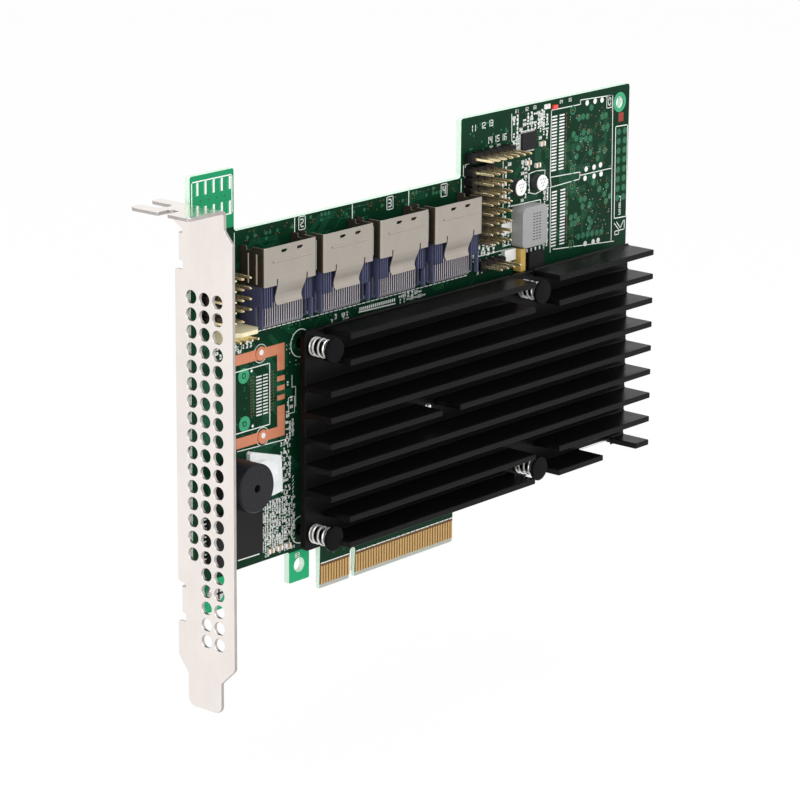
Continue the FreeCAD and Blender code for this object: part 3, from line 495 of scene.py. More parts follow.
class Pile:
    """Vertices and faces in millimetres, gathered until they become one piece."""

    def __init__(self) -> None:
        """Start empty."""
        self.points: list[Array] = []
        self.faces: list[Sequence[int]] = []
        self.looks: list[int] = []
        self.count = 0

    def add(self, points: Array, faces: Iterable[Sequence[int]], look: int = 0) -> None:
        """Add vertices and faces that count from the first of them.

        Args:
            points: array of vertices.
            faces: corner numbers of each face.
            look: number of the finish.
        """
        points = np.asarray(points, float).reshape(-1, 3)
        moved = [tuple(int(corner) + self.count for corner in face) for face in faces]
        self.points.append(points)
        self.faces += moved
        self.looks += [look] * len(moved)
        self.count += len(points)

    def grid(self, rows: Array, look: int = 0, caps: bool = True) -> None:
        """Skin a grid of points with quads.

        Args:
            rows: array of shape (rows, columns, 3); each row is a ring round the surface.
            look: number of the finish.
            caps: close the first and last row with one face each.
        """
        height, width = rows.shape[:2]
        column = np.arange(width)
        after = (column + 1) % width
        base = (np.arange(height - 1) * width)[:, None]
        quads = np.stack([base + column, base + after, base + width + after,
                          base + width + column], -1).reshape(-1, 4)
        faces = [tuple(quad) for quad in quads]
        if caps:
            faces.append(tuple(range(width))[::-1])
            faces.append(tuple(range((height - 1) * width, height * width)))
        self.add(rows, faces, look)

    def prism(self, outline: Array, plane: Plane, low: float, high: float,
              look: int = 0) -> None:
        """Extrude an outline between two depths, closed at both ends."""
        rows = np.stack([plane.stand(outline, low), plane.stand(outline, high)])
        self.grid(rows, look)

    def box(self, first: Spot, second: Spot, look: int = 0) -> None:
        """Add one block between two opposite corners."""
        corners = np.sort(np.array([first, second], float), axis=0)
        self.blocks(corners[:1], corners[1:], look)

    def bars(self, centres: Iterable[float], half: float, low: Spot,
             high: Spot, look: int = 0) -> None:
        """Add blocks side by side, half a width round each X and between shared (y, z)."""
        self.blocks(np.array([(x - half, *low) for x in centres]),
                    np.array([(x + half, *high) for x in centres]), look)

    def parted(self, points: Array, faces: list, measure: Array, limit: float,
               upper: int = 0) -> None:
        """Add a sheet's faces in two finishes.

        Args:
            points: array of vertices.
            faces: corner numbers of each face.
            measure: a value for each vertex.
            limit: a face is of the upper kind if all its corners measure more than this.
            upper: number of the upper kind's finish, 0 or 1.
        """
        above = [measure[list(face)].min() > limit for face in faces]
        for look in (0, 1):
            self.add(points, [face for face, over in zip(faces, above)
                              if over == (look == upper)], look)

    def blocks(self, lows: Array, highs: Array, look: int = 0) -> None:
        """Add many blocks at once.

        A block's eight corners are its low corner plus its size times the eight (0 or 1)
        triples.

        Args:
            lows: low corners, shape (count, 3).
            highs: high corners, shape (count, 3).
            look: number of the finish.
        """
        unit = np.array([[0, 0, 0], [1, 0, 0], [1, 1, 0], [0, 1, 0],
                         [0, 0, 1], [1, 0, 1], [1, 1, 1], [0, 1, 1]], float)
        lows = np.asarray(lows, float)
        highs = np.asarray(highs, float)
        self.solids(lows[:, None] + unit[None] * (highs - lows)[:, None], look)

    def solids(self, corners: Array, look: int = 0) -> None:
        """Add six-sided solids.

        Args:
            corners: shape (count, 8, 3), floor ring first.
            look: number of the finish.
        """
        sides = np.array([[0, 3, 2, 1], [4, 5, 6, 7], [0, 1, 5, 4], [1, 2, 6, 5],
                          [2, 3, 7, 6], [3, 0, 4, 7]])
        starts = (np.arange(len(corners)) * 8)[:, None, None]
        self.add(corners.reshape(-1, 3), (starts + sides[None]).reshape(-1, 4), look)

    def strokes(self, starts: Array, ends: Array, width: float, low: float,
                high: float, look: int = 0) -> None:
        """Add straight strokes on the board, each a flat block round the line between two spots.

        Its four flat corners are the ends plus half the width along and across the line.

        Args:
            starts: (x, z) of each first end.
            ends: (x, z) of each last end.
            width: width of the stroke.
            low: smaller Y.
            high: larger Y.
            look: number of the finish.
        """
        starts, ends = np.asarray(starts, float), np.asarray(ends, float)
        along = ends - starts
        along = along / np.linalg.norm(along, axis=1)[:, None] * width / 2
        across = np.stack([-along[:, 1], along[:, 0]], -1)
        ring = np.stack([starts - along - across, ends + along - across,
                         ends + along + across, starts - along + across], 1)
        self.solids(np.concatenate([Plane.BOARD.stand(ring, low),
                                    Plane.BOARD.stand(ring, high)], 1), look)

    def discs(self, centres: Array, radius: float, low: float, high: float,
              sides: int) -> None:
        """Add many short cylinders square to the board.

        Args:
            centres: (x, z) pairs.
            radius: radius of each.
            low: smaller Y.
            high: larger Y.
            sides: corners of each ring.
        """
        centres = np.asarray(centres, float).reshape(-1, 1, 2)
        ring = centres + circle(radius, sides)[None]
        points = np.concatenate([Plane.BOARD.stand(ring, low), Plane.BOARD.stand(ring, high)], 1)
        here = np.arange(sides)
        after = (here + 1) % sides
        wall = np.stack([here, after, after + sides, here + sides], -1)
        starts = (np.arange(len(centres)) * sides * 2)[:, None, None]
        faces = [tuple(face) for face in (starts + wall[None]).reshape(-1, 4)]
        faces += [tuple(face) for face in (starts[:, 0] + here[::-1])]
        faces += [tuple(face) for face in (starts[:, 0] + here + sides)]
        self.add(points, faces)

    def annulus(self, centre: Spot, inner: float, outer: float, low: float,
                high: float) -> None:
        """Add a flat ring square to the board: a lathe whose profile is a closed rectangle.

        Args:
            centre: (x, z).
            inner: inner radius.
            outer: outer radius.
            low: smaller Y.
            high: larger Y.
        """
        profile = [(inner, low), (outer, low), (outer, high), (inner, high), (inner, low)]
        rows = np.stack([Plane.BOARD.stand(circle(radius, 32, centre), y)
                         for radius, y in profile])
        self.grid(rows, caps=False)

    def lathe(self, profile: Sequence[Spot], centre: Spot,
              steps: int = 48, look: int = 0) -> None:
        """Turn a profile about an axis square to the board.

        A point is the centre plus its radius times (cosine, sine) of the turn in X and Z, at the
        profile's Y.

        Args:
            profile: (radius, y) pairs from one end to the other.
            centre: (x, z) of the axis.
            steps: points round the turn.
            look: number of the finish.
        """
        rows = np.stack([Plane.BOARD.stand(circle(max(radius, 1e-4), steps, centre), y)
                         for radius, y in profile])
        self.grid(rows, look)

    def tube(self, path: Array, radius: float, sides: int) -> None:
        """Carry a circle along a path.

        Each ring lies in the plane of two unit vectors that are square to the path: the first
        is the last ring's, made square to the new direction, and the second is their cross
        product.

        Args:
            path: points of the path.
            radius: radius of the tube.
            sides: points of each ring.
        """
        path = np.asarray(path, float)
        along = np.gradient(path, axis=0)
        along /= np.linalg.norm(along, axis=1)[:, None]
        first = np.cross(along[0], (0.31, 0.52, 0.79))
        ring = circle(radius, sides)
        rows = []
        for point, way in zip(path, along):
            first = first - way * (first @ way)
            first /= np.linalg.norm(first)
            second = np.cross(way, first)
            rows.append(point + ring[:, :1] * first + ring[:, 1:] * second)
        self.grid(np.stack(rows))


@dataclass(frozen=True)
class Dressing:
    """How a pile becomes a finished piece."""

    looks: tuple[Look, ...]
    bevel: float = 0.0
    segments: int = 2
    smooth: float = 35.0
    merge: bool = True


def put(name: str, data: Any) -> bpy.types.Object:
    """Place new data in the scene.

    Args:
        name: the object's name.
        data: mesh, camera or light.

    Returns:
        The object.
    """
    thing = bpy.data.objects.new(name, data)
    bpy.context.collection.objects.link(thing)
    return thing


def make_piece(name: str, pile: Pile, dressing: Dressing, *nodes: str) -> bpy.types.Object:
    """Turn a pile into an object that rides on the card.

    Args:
        name: the object's name.
        pile: its vertices and faces.
        dressing: finishes, bevel and smoothing.
        nodes: CAD nodes that the piece stands for.

    Returns:
        The new object.
    """
    mesh = bpy.data.meshes.new(name)
    points = np.concatenate(pile.points) * MM
    mesh.from_pydata(points.tolist(), [], pile.faces)
    mesh.polygons.foreach_set("material_index", np.array(pile.looks, np.int32))
    for look in dressing.looks:
        mesh.materials.append(look.material)
    work = bmesh.new()
    work.from_mesh(mesh)
    if dressing.merge:
        bmesh.ops.remove_doubles(work, verts=work.verts, dist=2e-7)
    bmesh.ops.recalc_face_normals(work, faces=work.faces)
    work.to_mesh(mesh)
    work.free()
    mesh.polygons.foreach_set("use_smooth", np.ones(len(mesh.polygons), bool))
    mesh.set_sharp_from_angle(angle=math.radians(dressing.smooth))
    mesh.update()
    piece = put(name, mesh)
    if dressing.bevel:
        bevel = piece.modifiers.new("bevel", "BEVEL")
        bevel.width = dressing.bevel * MM
        bevel.segments = dressing.segments
        bevel.limit_method = "ANGLE"
        bevel.angle_limit = math.radians(dressing.smooth)
        bevel.harden_normals = False
    weigh = piece.modifiers.new("weigh", "WEIGHTED_NORMAL")
    weigh.keep_sharp = True
    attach(piece, "root")
    if nodes:
        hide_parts(*nodes)
    LOG.info("piece %s: %d faces", name, len(mesh.polygons))
    return piece


def flat_sheet(outline: Array, holes: Sequence[Array], thickness: float,
               ease: float, cuts: Sequence[tuple[int, float]] = ()) -> tuple[Array, list]:
    """Flat sheet with holes and eased rims, centred on depth 0.

    A flat curve with the outline and holes is filled, given its thickness and bevelled, and
    then cut along lines where it will be folded.

    Args:
        outline: (a, b) pairs.
        holes: (a, b) pairs for each hole.
        thickness: thickness of the sheet.
        ease: width of the eased rim.
        cuts: (axis, value) of each fold line, with axis 0 for a and 1 for b.

    Returns:
        Vertices as (a, b, depth) and the faces.
    """
    curve = bpy.data.curves.new("sheet", "CURVE")
    curve.dimensions = "2D"
    curve.fill_mode = "BOTH"
    curve.extrude = thickness / 2 - ease
    curve.bevel_depth = ease
    curve.bevel_resolution = 0
    curve.offset = -ease
    for number, ring in enumerate([outline, *holes]):
        a, b = ring.T
        left = np.sum(a * np.roll(b, -1) - b * np.roll(a, -1)) > 0
        ring = ring if left == (number == 0) else ring[::-1]
        spline = curve.splines.new("POLY")
        spline.points.add(len(ring) - 1)
        flat = np.zeros((len(ring), 4))
        flat[:, :2] = ring
        flat[:, 3] = 1.0
        spline.points.foreach_set("co", flat.ravel())
        spline.use_cyclic_u = True
    holder = bpy.data.objects.new("sheet", curve)
    mesh = bpy.data.meshes.new_from_object(holder)
    work = bmesh.new()
    work.from_mesh(mesh)
    bmesh.ops.remove_doubles(work, verts=work.verts, dist=1e-4)
    for axis, value in cuts:
        point = (value, 0, 0) if axis == 0 else (0, value, 0)
        way = (1, 0, 0) if axis == 0 else (0, 1, 0)
        geometry = list(work.verts) + list(work.edges) + list(work.faces)
        bmesh.ops.bisect_plane(work, geom=geometry, plane_co=point, plane_no=way, dist=1e-4)
    work.to_mesh(mesh)
    work.free()
    points = np.empty((len(mesh.vertices), 3), np.float32)
    mesh.vertices.foreach_get("co", points.ravel())
    faces = [tuple(polygon.vertices) for polygon in mesh.polygons]
    bpy.data.meshes.remove(mesh)
    bpy.data.objects.remove(holder)
    bpy.data.curves.remove(curve)
    return points.astype(float), faces


def curl(run: Array, depth: Array, neutral: float) -> tuple[Array, Array]:
    """Fold by a right angle.

    A point beyond the bend line turns by its run over the neutral radius, at that radius plus its
    depth from the middle of the sheet, and goes straight on once it has turned a quarter.

    Args:
        run: distance beyond the bend line.
        depth: distance from the middle of the sheet, away from the bend's centre.
        neutral: radius of the middle of the sheet.

    Returns:
        Place from the bend's centre, square to the unfolded sheet and along it.
    """
    turn = np.clip(run / neutral, 0, math.pi / 2)
    rest = np.clip(run - neutral * math.pi / 2, 0, None)
    return (neutral + depth) * np.cos(turn) - rest, (neutral + depth) * np.sin(turn)


def node_box(node: str) -> tuple[Array, Array]:
    """Low and high corner of a CAD node, in millimetres."""
    low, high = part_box(node)
    return np.array(low) / MM, np.array(high) / MM


# ---- circuit board

@dataclass
class Board:
    """The circuit board with its ears, lug, card edge and holes."""

    left_shoulder: float = -42.25
    right_shoulder: float = 40.5
    shelf: float = 95.9
    floor: float = 12.4
    foot_ear: tuple[float, float] = (-44.6, 4.0)
    right_foot: tuple[float, float] = (60.0, 13.3)
    lug: tuple[float, float, float] = (-23.5, -16.1, 4.2)
    lug_hole: float = 8.35
    edge: tuple[float, float] = (-12.15, 39.15)
    key: tuple[float, float] = (0.95, 8.0)
    low: Array = field(init=False)
    high: Array = field(init=False)

    def __post_init__(self) -> None:
        """Read the board's box from the frame."""
        self.low, self.high = node_box("circuit_board")

    @property
    def front(self) -> float:
        """Y of the component side."""
        return float(self.low[1])

    @property
    def back(self) -> float:
        """Y of the solder side."""
        return float(self.high[1])

    def outline(self) -> Array:
        """Draw the board's edge.

        Returns:
            Points (x, z), counter-clockwise from the foot ear.
        """
        left, right = self.low[0], self.high[0]
        top = self.high[2]
        half, height = self.key
        return eased([
            (left, self.foot_ear[1], 0.5), (*self.foot_ear, 0.5),
            (self.foot_ear[0], self.floor, 0.8),
            (self.lug[0], self.floor, 0.6), (self.lug[0], self.lug[2], 0.5),
            (self.lug[1], self.lug[2], 0.5), (self.lug[1], self.floor, 0.6),
            (self.edge[0], self.floor, 0.4), (self.edge[0], 0.0, 0.5), (-half, 0.0, 0.3),
            (-half, height, half * 0.95), (half, height, half * 0.95), (half, 0.0, 0.3),
            (self.edge[1], 0.0, 0.5), (self.edge[1], self.floor, 0.8),
            (self.right_foot[0], self.floor, 0.4), (*self.right_foot, 0.4),
            (right, self.right_foot[1], 1.0), (right, top, 1.0),
            (self.right_shoulder, top, 0.6),
            (self.right_shoulder, self.shelf, 0.8), (self.left_shoulder, self.shelf, 0.8),
            (self.left_shoulder, top, 0.6), (left, top, 0.6),
        ], 6)

    def holes(self) -> list[Array]:
        """Draw every round hole through the board.

        Returns:
            A ring of (x, z) for each.
        """
        pins_low, pins_high = node_box("push_pins")
        screws_low, screws_high = node_box("bracket_screws")
        pin_x = (pins_low[0] + PIN_HEAD, pins_high[0] - PIN_HEAD)
        pin_z = (pins_low[2] + PIN_HEAD, pins_high[2] - PIN_HEAD)
        places = [(x, z, 1.6) for x in pin_x for z in pin_z]
        screw_x = (screws_low[0] + screws_high[0]) / 2
        places += [(screw_x, screws_low[2] + SCREW_HEAD, 1.55),
                   (screw_x, screws_high[2] - SCREW_HEAD, 1.55)]
        places.append(((self.lug[0] + self.lug[1]) / 2, self.lug_hole, 1.8))
        places.append((self.high[0] - 4.6, self.high[2] - 4.6, 1.6))
        return [circle(radius, 40, (x, z)) for x, z, radius in places]

    def build(self) -> None:
        """Make the board: lacquered faces, bare laminate on every edge."""
        thickness = self.back - self.front
        points, faces = flat_sheet(self.outline(), self.holes(), thickness, 0.05)
        placed = self.bevel_fingers(Plane.BOARD.stand(points[:, :2], points[:, 2]))
        pile = Pile()
        pile.parted(placed, faces, np.abs(points[:, 2]), thickness / 2 - 0.01)
        make_piece("board", pile, Dressing((Look.MASK, Look.EDGE)), "circuit_board")

    def bevel_fingers(self, points: Array) -> Array:
        """Thin the nose of the card edge: depth falls evenly to a third over the last 1.2 mm.

        Args:
            points: the board's vertices.

        Returns:
            The same vertices, moved.
        """
        share = np.clip(1.0 - points[:, 2] / 1.2, 0.0, 1.0) * (points[:, 0] > self.edge[0] - 0.1)
        points[:, 1] *= 1.0 - share * 0.62
        return points


# ---- bracket

@dataclass
class Bracket:
    """The folded bracket, made from its flat pattern."""

    sheet: float = 0.86
    bend: float = 0.5
    gap: float = 1.19
    tongue: tuple[float, float, float] = (-11.85, -0.92, -9.0)
    face: tuple[float, float, float] = (-16.23, 2.2, -5.1)
    shoulder: float = 97.5
    flange_y: tuple[float, float, float] = (-13.6, 6.3, 5.1)
    slot_x: tuple[float, float] = (-66.81, -62.39)
    slot_end: float = 0.8
    notch: tuple[float, float, float] = (-6.7, -3.8, 4.4)
    tabs: tuple[float, float] = (8.95, 94.9)
    tab_half: float = 3.2
    relief: float = -0.3
    tab_end: float = -46.85
    screw_x: float = -50.2
    vent: tuple[float, float, float, float] = (1.6, 4.16, -2.99, 83.45)

    def __post_init__(self) -> None:
        """Work out the planes and bends from the frame's box."""
        self.low, self.high = node_box("bracket")
        self.inner = node_box("circuit_board")[0][0] - self.gap
        self.outer = self.inner - self.sheet
        self.neutral = self.bend + self.sheet / 2
        self.arc = self.neutral * math.pi / 2
        self.flange_z = self.high[2] - self.sheet - self.bend
        self.tab_y = node_box("circuit_board")[1][1] - self.bend

    def flange_v(self, x: float) -> float:
        """Height on the flat pattern of a line at x on the flange."""
        return self.flange_z + self.arc + (self.outer - self.bend - x)

    def tab_u(self, x: float) -> float:
        """Width on the flat pattern of a line at x on a tab."""
        return self.tab_y + self.arc + (x - self.inner - self.bend)

    def outline(self) -> Array:
        """Draw the flat pattern.

        Returns:
            Points (y, z), counter-clockwise from the tongue.
        """
        front, back, foot = self.face
        half = self.tab_half
        end = self.tab_u(self.tab_end)
        top = self.flange_v(self.low[0])
        slot_low, slot_high = self.flange_v(self.slot_x[1]), self.flange_v(self.slot_x[0])
        slot_y = self.slot_end - (slot_high - slot_low) / 2
        round_end = (slot_high - slot_low) / 2 * 0.98
        notch_low, notch_high, notch_deep = self.notch
        tabs = []
        for tab, after in zip(self.tabs, ((back, self.tabs[0] + half + 1.4, 0.5),
                                          (self.flange_y[1], self.flange_z - 0.9, 0.8))):
            tabs += [(back, tab - half - 2.2, 0.5), (self.relief, tab - half - 2.2, 0.6),
                     (self.relief, tab - half, 0.25), (end, tab - half, 0.8),
                     (end, tab + half, 0.8), (self.relief, tab + half, 0.25),
                     (self.relief, tab + half + 1.0, 0.6), after]
        return eased([
            (self.tongue[0], self.low[2], 2.0), (self.tongue[1], self.low[2], 2.0),
            (self.tongue[1], self.tongue[2], 0.5), (back, foot, 1.2), *tabs,
            (self.flange_y[1], slot_low, 0.7), (slot_y, slot_low, round_end),
            (slot_y, slot_high, round_end), (self.flange_y[2], slot_high, 0.7),
            (self.flange_y[2], top, 1.2), (notch_high, top, 0.5),
            (notch_high, top - notch_deep, 0.9), (notch_low, top - notch_deep, 0.9),
            (notch_low, top, 0.5), (self.flange_y[0], top, 1.0),
            (self.flange_y[0], self.shoulder + 3.0, 0.9), (front, self.shoulder, 0.9),
            (front, foot, 1.6), (self.tongue[0], self.tongue[2] - 0.3, 0.9),
        ], 7)

    def holes(self) -> list[Array]:
        """Draw round vents in three columns, and one hole in each tab.

        Returns:
            A ring of (y, z) for each.
        """
        radius, pitch, first, top = self.vent
        rings = []
        for row in range(21):
            for column in range(3) if row < 16 else range(1, 3):
                rings.append(circle(radius, 36, (first - pitch * column, top - pitch * row)))
        hole_u = self.tab_u(self.screw_x)
        rings += [circle(1.5, 32, (hole_u, z)) for z in self.tabs]
        return rings

    def fold(self, points: Array) -> Array:
        """Fold the flange to -X at the top, and each tab to +X beside the board.

        Args:
            points: flat (y, z, depth), with depth from the middle of the sheet.

        Returns:
            Folded points as (x, y, z).
        """
        u, v, depth = points.T
        over, up = curl(v - self.flange_z, depth, self.neutral)
        on = v > self.flange_z
        x = np.where(on, self.outer - self.bend + over, (self.outer + self.inner) / 2 + depth)
        z = np.where(on, self.flange_z + up, v)
        near = np.min([np.abs(v - tab) for tab in self.tabs], axis=0) < self.tab_half + 0.02
        over, out = curl(u - self.tab_y, -depth, self.neutral)
        on = near & (u > self.tab_y)
        x = np.where(on, self.inner + self.bend - over, x)
        return np.stack([x, np.where(on, self.tab_y + out, u), z], -1)

    def build(self) -> None:
        """Make the bracket and its two screws."""
        lines = [(axis, start + self.arc * step / 8)
                 for axis, start in ((1, self.flange_z), (0, self.tab_y)) for step in range(9)]
        points, faces = flat_sheet(self.outline(), self.holes(), self.sheet, 0.09, lines)
        pile = Pile()
        pile.parted(self.fold(points), faces, np.abs(points[:, 2]), self.sheet / 2 - 0.02)
        make_piece("folded_bracket", pile, Dressing((Look.BRACKET, Look.SHEARED)), "bracket")
        self.build_screws()

    def build_screws(self) -> None:
        """Turn the two pan-head screws, each with its cross recess shown as a dark inlay of painted
        shade.
        """
        low, high = node_box("bracket_screws")
        pile = Pile()
        front = node_box("circuit_board")[0][1]
        for z in (low[2] + SCREW_HEAD, high[2] - SCREW_HEAD):
            dome = [(0.0, low[1]), (1.2, low[1]), (2.0, low[1] + 0.25), (2.55, low[1] + 0.8),
                    (SCREW_HEAD, low[1] + 1.4), (SCREW_HEAD, front), (1.45, front),
                    (1.45, high[1] - 0.2), (1.2, high[1]), (0.0, high[1])]
            pile.lathe(dome, (self.screw_x, z), 40)
            # The cross recess is not cut: a near-black inlay paints its shade.
            for wide, tall in ((1.5, 0.28), (0.28, 1.5)):
                pile.box((self.screw_x - wide, low[1] - 0.02, z - tall),
                         (self.screw_x + wide, low[1] + 0.3, z + tall), 1)
        make_piece("pan_screws", pile, Dressing((Look.STEEL, Look.DARK)), "bracket_screws")


# ---- heatsink

@dataclass
class Heatsink:
    """Extruded, cross-cut heatsink with push pins and springs."""

    base: float = 1.7
    low_edge: float = 13.2
    right_foot: float = 14.3
    fin_pitch: float = 6.57
    fin_top: float = 0.8
    fin_half: float = 0.75
    fins: int = 9
    pin_left: float = -19.3
    pin_right: float = 60.7
    pins_z: tuple[float, float] = (17.3, 64.5)
    notch: tuple[float, float, float] = (85.85, 100.3, 15.3)
    middle_gap: tuple[float, float] = (19.2, 26.1)
    dimple: tuple[float, float] = (23.5, 40.4)
    flare: float = 0.45
    tip_ease: float = 0.2
    wire: float = 0.28
    coil: float = 2.45
    turns: float = 4.8

    def __post_init__(self) -> None:
        """Read the heatsink's box."""
        self.low, self.high = node_box("heatsink")

    def runs(self, row: int) -> list[tuple[float, float]]:
        """Runs of one fin along X.

        Args:
            row: number of the fin, from the top.

        Returns:
            (start, end) of each run.
        """
        near_pin = row < 2 or row > self.fins - 3
        start = self.pin_left + 3.8 if near_pin else self.low[0]
        gaps = []
        if row < 2:
            gaps.append((self.pin_right - 4.95, self.pin_right + 4.95))
        if row > self.fins - 3:
            gaps.append((self.pin_right - 3.75, self.pin_right + 6.15))
        if row == self.fins - 1:
            gaps.append(self.notch[:2])
        if row == self.fins // 2:
            gaps.append(self.middle_gap)
        runs = []
        for gap_start, gap_end in gaps:
            runs.append((start, gap_start))
            start = gap_end
        return runs + [(start, float(self.high[0]))]

    def fin_section(self, z: float) -> Array:
        """Draw one fin: flared root, straight sides and a rounded tip.

        Args:
            z: height of the fin's middle.

        Returns:
            Points (y, z) round the section.
        """
        face = self.high[1] - self.base
        tip = self.low[1]
        half, flare, ease = self.fin_half, self.flare, self.tip_ease
        turn = np.linspace(0, math.pi / 2, 5)
        root_y = face - flare + flare * np.sin(turn)
        root_z = half + flare - flare * np.cos(turn)
        cap_y = tip + ease - ease * np.sin(turn)
        cap_z = half - ease + ease * np.cos(turn)
        side_y = np.concatenate([[face + 0.3], root_y[::-1], cap_y])
        side_z = np.concatenate([[half + flare], root_z[::-1], cap_z])
        upper = np.stack([side_y, z + side_z], -1)
        lower = np.stack([side_y, z - side_z], -1)[::-1]
        return np.concatenate([upper, lower])

    def build(self) -> None:
        """Make the heatsink, its bare spot, painted highlight strips along the notch, the pins and
        the springs.
        """
        top, left, right = self.high[2], self.low[0], self.high[0]
        outline = eased([
            (left, self.low_edge, 1.0), (self.notch[0], self.low_edge, 0.4),
            (self.notch[0], self.notch[2], 0.5), (self.notch[1], self.notch[2], 0.5),
            (self.notch[1], self.right_foot, 0.3), (right, self.right_foot, 0.4),
            (right, top, 1.0), (left, top, 1.0)], 5)
        holes = [circle(1.7, 32, (x, z)) for x in (self.pin_left, self.pin_right)
                 for z in self.pins_z]
        points, faces = flat_sheet(outline, holes, self.base, 0.15)
        face = self.high[1] - self.base
        pile = Pile()
        pile.add(Plane.BOARD.stand(points[:, :2], points[:, 2] + self.high[1] - self.base / 2),
                 faces)
        # Two thin light strips along the notch's top edge: a painted highlight on that edge.
        for depth, rise in ((0.0, 0.45), (0.55, 0.2)):
            pile.box((self.notch[0] + 0.6, face + depth - 0.03, self.notch[2] + 0.15 + depth),
                     (self.notch[1] - 0.6, face + depth + 0.3, self.notch[2] + rise + depth), 1)
        make_piece("heatsink_base", pile, Dressing((Look.HEATSINK, Look.BARE_METAL_AND_HIGHLIGHT)), "heatsink")
        fins = Pile()
        for row in range(self.fins):
            z = top - self.fin_top - self.fin_pitch * row
            section = self.fin_section(z)
            for start, end in self.runs(row):
                fins.prism(section, Plane.BRACKET, start, end)
        make_piece("heatsink_fins", fins, Dressing((Look.HEATSINK,), 0.14, 2, 50.0))
        spot = Pile()
        spot.lathe([(0, face - 0.05), (0.55, face - 0.05), (0.95, face - 0.22),
                    (1.15, face - 0.02), (1.15, face + 0.2), (0, face + 0.2)], self.dimple, 32)
        make_piece("bare_spot", spot, Dressing((Look.BARE_METAL_AND_HIGHLIGHT,)))
        self.build_pins()

    def build_pins(self) -> None:
        """Turn the push pins and wind their springs."""
        low, high = node_box("push_pins")
        face = self.high[1] - self.base
        back = node_box("circuit_board")[1][1]
        pins, springs = Pile(), Pile()
        head = low[1]
        under = head + 0.9
        profile = [(0.0, head), (2.5, head), (2.95, head + 0.06), (PIN_HEAD, head + 0.28),
                   (PIN_HEAD, under - 0.1), (3.05, under), (1.9, under), (1.5, under + 0.3),
                   (1.5, back), (2.1, back + 0.02), (2.1, back + 0.5), (1.5, back + 2.0),
                   (1.0, high[1]), (0.0, high[1])]
        share = np.linspace(0, 1, 170)
        start, end = face - 0.33, under + 0.33
        close = share - 0.09 * np.sin(2 * math.pi * share)
        turn = 2 * math.pi * self.turns * share
        radius = self.coil - self.wire
        for x in (self.pin_left, self.pin_right):
            for z in self.pins_z:
                pins.lathe(profile, (x, z), 44)
                path = np.stack([x + radius * np.cos(turn), start + (end - start) * close,
                                 z + radius * np.sin(turn)], -1)
                springs.tube(path, self.wire, 8)
        make_piece("nylon_pins", pins, Dressing((Look.NYLON,)), "push_pins")
        make_piece("pin_springs", springs, Dressing((Look.SPRING,)), "push_pin_springs")


# ---- sockets

